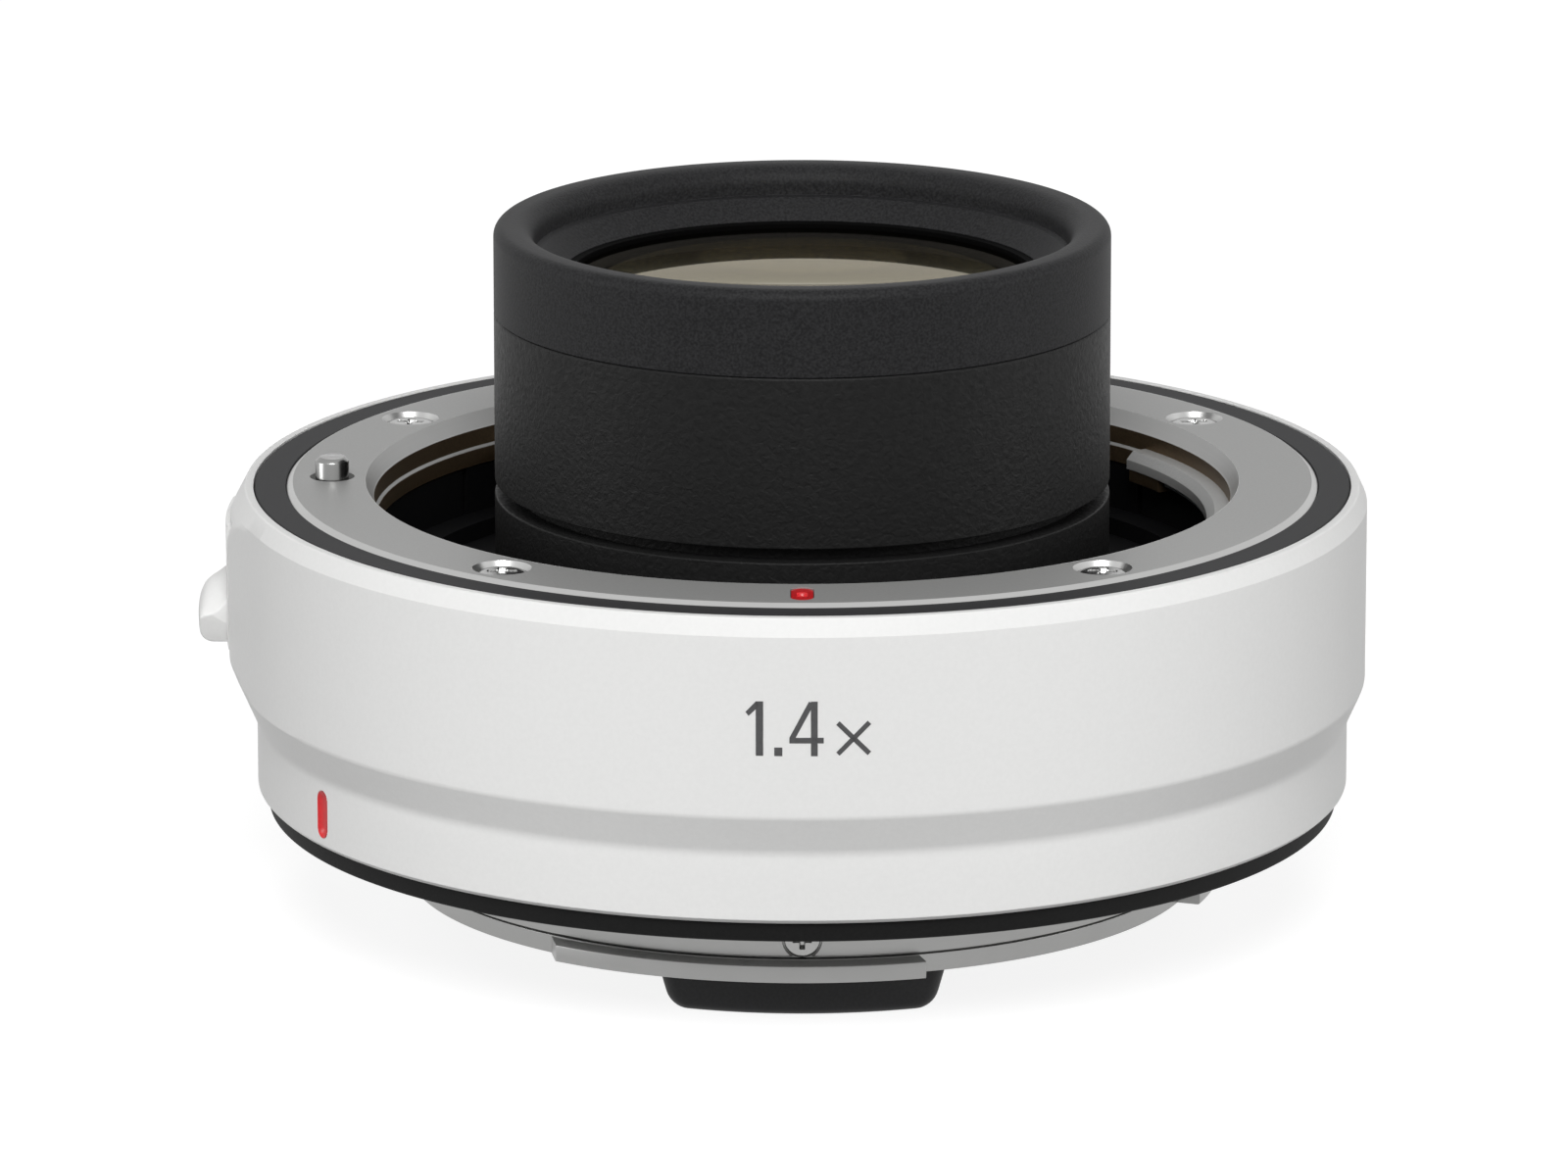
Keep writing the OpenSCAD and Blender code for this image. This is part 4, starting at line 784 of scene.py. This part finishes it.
def lens_shape(radius, top_z, foot_z, top_curve, top_clear, foot_curve, foot_clear):
    """Lens from two spherical faces with flat seats: z(r) = seat + sign (sag(clear) - sag(r)) for r up to
    clear, where sag(r) = R - sqrt(R^2 - r^2)."""
    share = np.linspace(0, 1, 40)

    def face(curve, clear):
        big = abs(curve)
        r = share * clear
        sag = big - np.sqrt(big * big - r * r)
        return r, math.copysign(1, curve) * (sag[-1] - sag)

    top_r, top_h = face(top_curve, top_clear)
    foot_r, foot_h = face(foot_curve, foot_clear)
    profile = np.concatenate([
        np.stack([top_r, top_z + top_h], axis=-1), [(radius, top_z), (radius, foot_z)],
        np.stack([foot_r, foot_z - foot_h], axis=-1)[::-1]])
    return spun(profile, 192)


# Each lens: radius, top and foot of its edge, curve and clear radius of its top face, and of its foot face
LENSES = {
    "lens_1": (15.0, 33.05, 29.6, 150, 14.5, 70, 12.9),
    "lens_2": (13.0, 25.9, 20.1, -45, 11.6, -30, 12.6),
    "lens_3": (13.0, 20.08, 18.9, 30, 12.6, 60, 11.6),
    "lens_4": (13.0, 15.28, 11.18, -90, 11.6, -35, 12.6),
    "lens_5": (13.0, 11.16, 9.98, 35, 12.6, 30, 12.6),
    "lens_6": (13.0, 9.96, 5.3, -30, 12.6, -90, 11.6),
    "lens_7": (14.5, 3.7, 0.9, 55, 12.2, 90, 13.3),
}
for lens_name, sizes in LENSES.items():
    piece(lens_name + "_polished", [lens_shape(*sizes)], FINISH["coated_glass"], "body",
          [lens_name], sharp=20.0)


# Rear mount

neck = piece("rear_mount_ring", [turned(rounded([
    (NECK_BORE_R, NECK_FOOT_Z), (25.0, NECK_FOOT_Z), (25.0, -4.0), (24.75, -3.95), (24.75, -3.78),
    (NECK_R, -3.78), (NECK_R, 0.25), (26.8, 0.25), (26.8, 0.0), (31.6, 0.0),
    (31.8, 0.2), (31.8, 1.8), (21.2, 1.8), (21.2, 0.0), (NECK_BORE_R, 0.0)],
    [0.1, 0.1, 0.02, 0.02, 0.02, 0.05, 0.05, 0.05, 0.04, 0.05, 0.05, 0, 0, 0, 0]))],
    NECK_METAL, "body", ["rear_mount"])
rear_well = spun([(0, -1.0), (1.825, -1.0), (1.825, 0.95), (0, 0.95)], steps=64)
hole_points, hole_faces = spun([(0, -0.6), (1.24, -0.6), (1.24, 1.0), (0, 1.0)], steps=64)
stop_hole = (hole_points[:, ::-1] * (1, -1, 1), hole_faces)
cut(neck, [placed(rear_well, az, REAR_SCREW_R, 0.0) for az in REAR_SCREW_AZ]
    + [placed(stop_hole, CONTACT_AZ, NECK_R, STOP_SCREW_Z)], NECK_METAL)
lobe_profile = rounded([(24.2, NECK_FOOT_Z), (LOBE_R, NECK_FOOT_Z), (LOBE_R, LOBE_Z), (24.2, LOBE_Z)],
                       [0, 0.12, 0.08, 0], steps=3)
lobe_slant = 2.4 * (lobe_profile[:, 0] - LOBE_R)
# The lobes' even light grey is painted light
piece("bayonet_lobes",
      [turned(lobe_profile, a + slant * lobe_slant, b, 60) for (a, b), slant in zip(LOBE_ARCS, (0, 0, 1))],
      LOBE_PAINTED_LIGHT_METAL, "body")


def contact_block():
    """Contact block: its outline (along, up) carried outwards and drawn in at the outer edge by a quarter
    circle, then shrunk to a hub to close the face. Each row lies on a cylinder round the optical axis."""
    outline = rounded([(-9.1, 3.3), (-9.1, -5.0), (-8.1, BLOCK_FOOT_Z), (8.1, BLOCK_FOOT_Z), (9.1, -5.0),
                       (9.1, 3.3)], [0, 0.5, 1.4, 1.4, 0.5, 0], steps=8)
    outline = dense(outline, 0.6)
    turn = np.linspace(0, math.pi / 2, 7)
    q = 0.75
    back_r = 19.8
    face_r = 22.5
    radius = np.concatenate([[back_r], face_r - q + q * np.sin(turn)])
    draw = np.concatenate([[0.0], q - q * np.cos(turn)])
    rows = np.stack([inset(outline, d) for d in draw])
    hub = np.array([0.0, -2.5])
    shares = np.array([0.85, 0.7, 0.55, 0.4, 0.25, 0.1, 0.02])
    rows = np.concatenate([rows, hub + shares[:, None, None] * (rows[-1] - hub)])
    radius = np.concatenate([radius, np.full(len(shares), radius[-1])])
    x = rows[..., 0]
    y = -np.sqrt(radius[:, None] ** 2 - x ** 2)
    return lofted(np.stack([x, y, rows[..., 1]], axis=-1))


piece("contact_block_moulding", [contact_block()], BLOCK_PLASTIC, "body",
      ["rear_contact_block"])
side_points, side_faces = screw_head(1.1, 0.6, depth=0.5, edge=(0.12, 0.1))
side_head = (np.stack([side_points[:, 2], side_points[:, 1], side_points[:, 0]], axis=-1), side_faces)
piece("stop_screw_head", [placed(side_head, CONTACT_AZ, NECK_R + 0.04, STOP_SCREW_Z)],
      steel, "body", ["block_screw"])


# Studio

# Lengths in metres from here on, apart from the camera's own
FLOOR_HALF = 6.0
LAMP_AIM = np.array([0.0, 0.0, 0.012])
WHITE = (1.0, 1.0, 1.0, 1.0)

# Each lamp, one metre off: azimuth and rise in degrees, width in metres, power in watts
LAMPS = {
    "left softbox": (190.0, 8.0, 0.45, 3.1),
    "right softbox": (350.0, 8.0, 0.45, 2.95),
    "front softbox": (270.0, 40.0, 0.5, 9.5),
    "back softbox": (90.0, 50.0, 0.6, 1.0),
}

# The camera fitted to the photograph
PHOTO_WIDTH_PX = 1600
PHOTO_SHIFT_PX = -18.6
CAMERA_TILT = math.radians(14.32)
CAMERA_FAR = 0.7035
CAMERA_AIM_Z = 0.01306
CAMERA_LENS_MM = 256.5


def seen_directly(tree):
    """1 on rays from the camera, off a glossy face or through glass, and 0 on rays that only carry light."""
    paths = add(tree, "ShaderNodeLightPath")
    seen = add(tree, "ShaderNodeMath", {0: paths.outputs["Is Camera Ray"], 1: paths.outputs["Is Glossy Ray"]},
               operation="MAXIMUM")
    seen = add(tree, "ShaderNodeMath", {0: seen.outputs[0], 1: paths.outputs["Is Transmission Ray"]},
               operation="MAXIMUM")
    return seen.outputs[0]


def floor_sheet(scene):
    """Pale paper under the lowest point, which glows towards white where it is seen directly."""
    mesh = bpy.data.meshes.new("floor")
    corners = ((-1, -1), (1, -1), (1, 1), (-1, 1))
    mesh.from_pydata([(FLOOR_HALF * x, FLOOR_HALF * y, BLOCK_FOOT_Z * MM) for x, y in corners],
                     [], [(0, 1, 2, 3)])
    floor = bpy.data.objects.new("floor", mesh)
    scene.collection.objects.link(floor)
    material = bpy.data.materials.new("pale seamless paper")
    material.use_nodes = True
    tree = material.node_tree
    tree.nodes.clear()
    seen = seen_directly(tree)
    paper = add(tree, "ShaderNodeBsdfDiffuse", {"Color": linear("#969696")})
    glow = add(tree, "ShaderNodeEmission", {"Color": WHITE, "Strength": 0.87})
    both = add(tree, "ShaderNodeAddShader", {0: paper.outputs[0], 1: glow.outputs[0]})
    mix = add(tree, "ShaderNodeMixShader", {0: seen, 1: paper.outputs[0], 2: both.outputs[0]})
    add(tree, "ShaderNodeOutputMaterial", {"Surface": mix.outputs[0]})
    mesh.materials.append(material)


def white_surround(scene):
    """White where it is seen directly, and a faint fill light otherwise."""
    world = bpy.data.worlds.new("white studio")
    world.use_nodes = True
    tree = world.node_tree
    tree.nodes.clear()
    strength = add(tree, "ShaderNodeMapRange", {"Value": seen_directly(tree), "To Min": 0.04, "To Max": 1.0})
    background = add(tree, "ShaderNodeBackground",
                     {"Color": WHITE, "Strength": strength.outputs["Result"]})
    add(tree, "ShaderNodeOutputWorld", {"Surface": background.outputs[0]})
    scene.world = world


def soft_lamps(scene):
    """Round softboxes on a sphere of one metre round the object, aimed near its middle."""
    for name, (az, rise, size, power) in LAMPS.items():
        level = math.radians(rise)
        turn = math.radians(az)
        away = np.array([math.cos(level) * math.cos(turn), math.cos(level) * math.sin(turn), math.sin(level)])
        lamp = bpy.data.lights.new(name, "AREA")
        lamp.shape = "DISK"
        lamp.size = size
        lamp.energy = power
        holder = bpy.data.objects.new(name, lamp)
        holder.location = LAMP_AIM + away
        holder.rotation_mode = "QUATERNION"
        holder.rotation_quaternion = Vector(-away).to_track_quat("-Z", "Y")
        scene.collection.objects.link(holder)


def photo_camera(scene):
    """The photograph's camera: a long lens that looks down a little from the contact side."""
    camera = bpy.data.cameras.new("camera")
    camera.sensor_width = 36.0
    camera.lens = CAMERA_LENS_MM
    camera.shift_x = PHOTO_SHIFT_PX / PHOTO_WIDTH_PX
    camera.clip_start = 0.01
    camera.clip_end = 50.0
    holder = bpy.data.objects.new("camera", camera)
    holder.location = (0.0, -CAMERA_FAR * math.cos(CAMERA_TILT),
                       CAMERA_AIM_Z + CAMERA_FAR * math.sin(CAMERA_TILT))
    holder.rotation_euler = (math.pi / 2 - CAMERA_TILT, 0.0, 0.0)
    scene.collection.objects.link(holder)
    scene.camera = holder


studio_scene = bpy.context.scene
studio_scene.view_settings.view_transform = "Standard"
floor_sheet(studio_scene)
white_surround(studio_scene)
soft_lamps(studio_scene)
photo_camera(studio_scene)
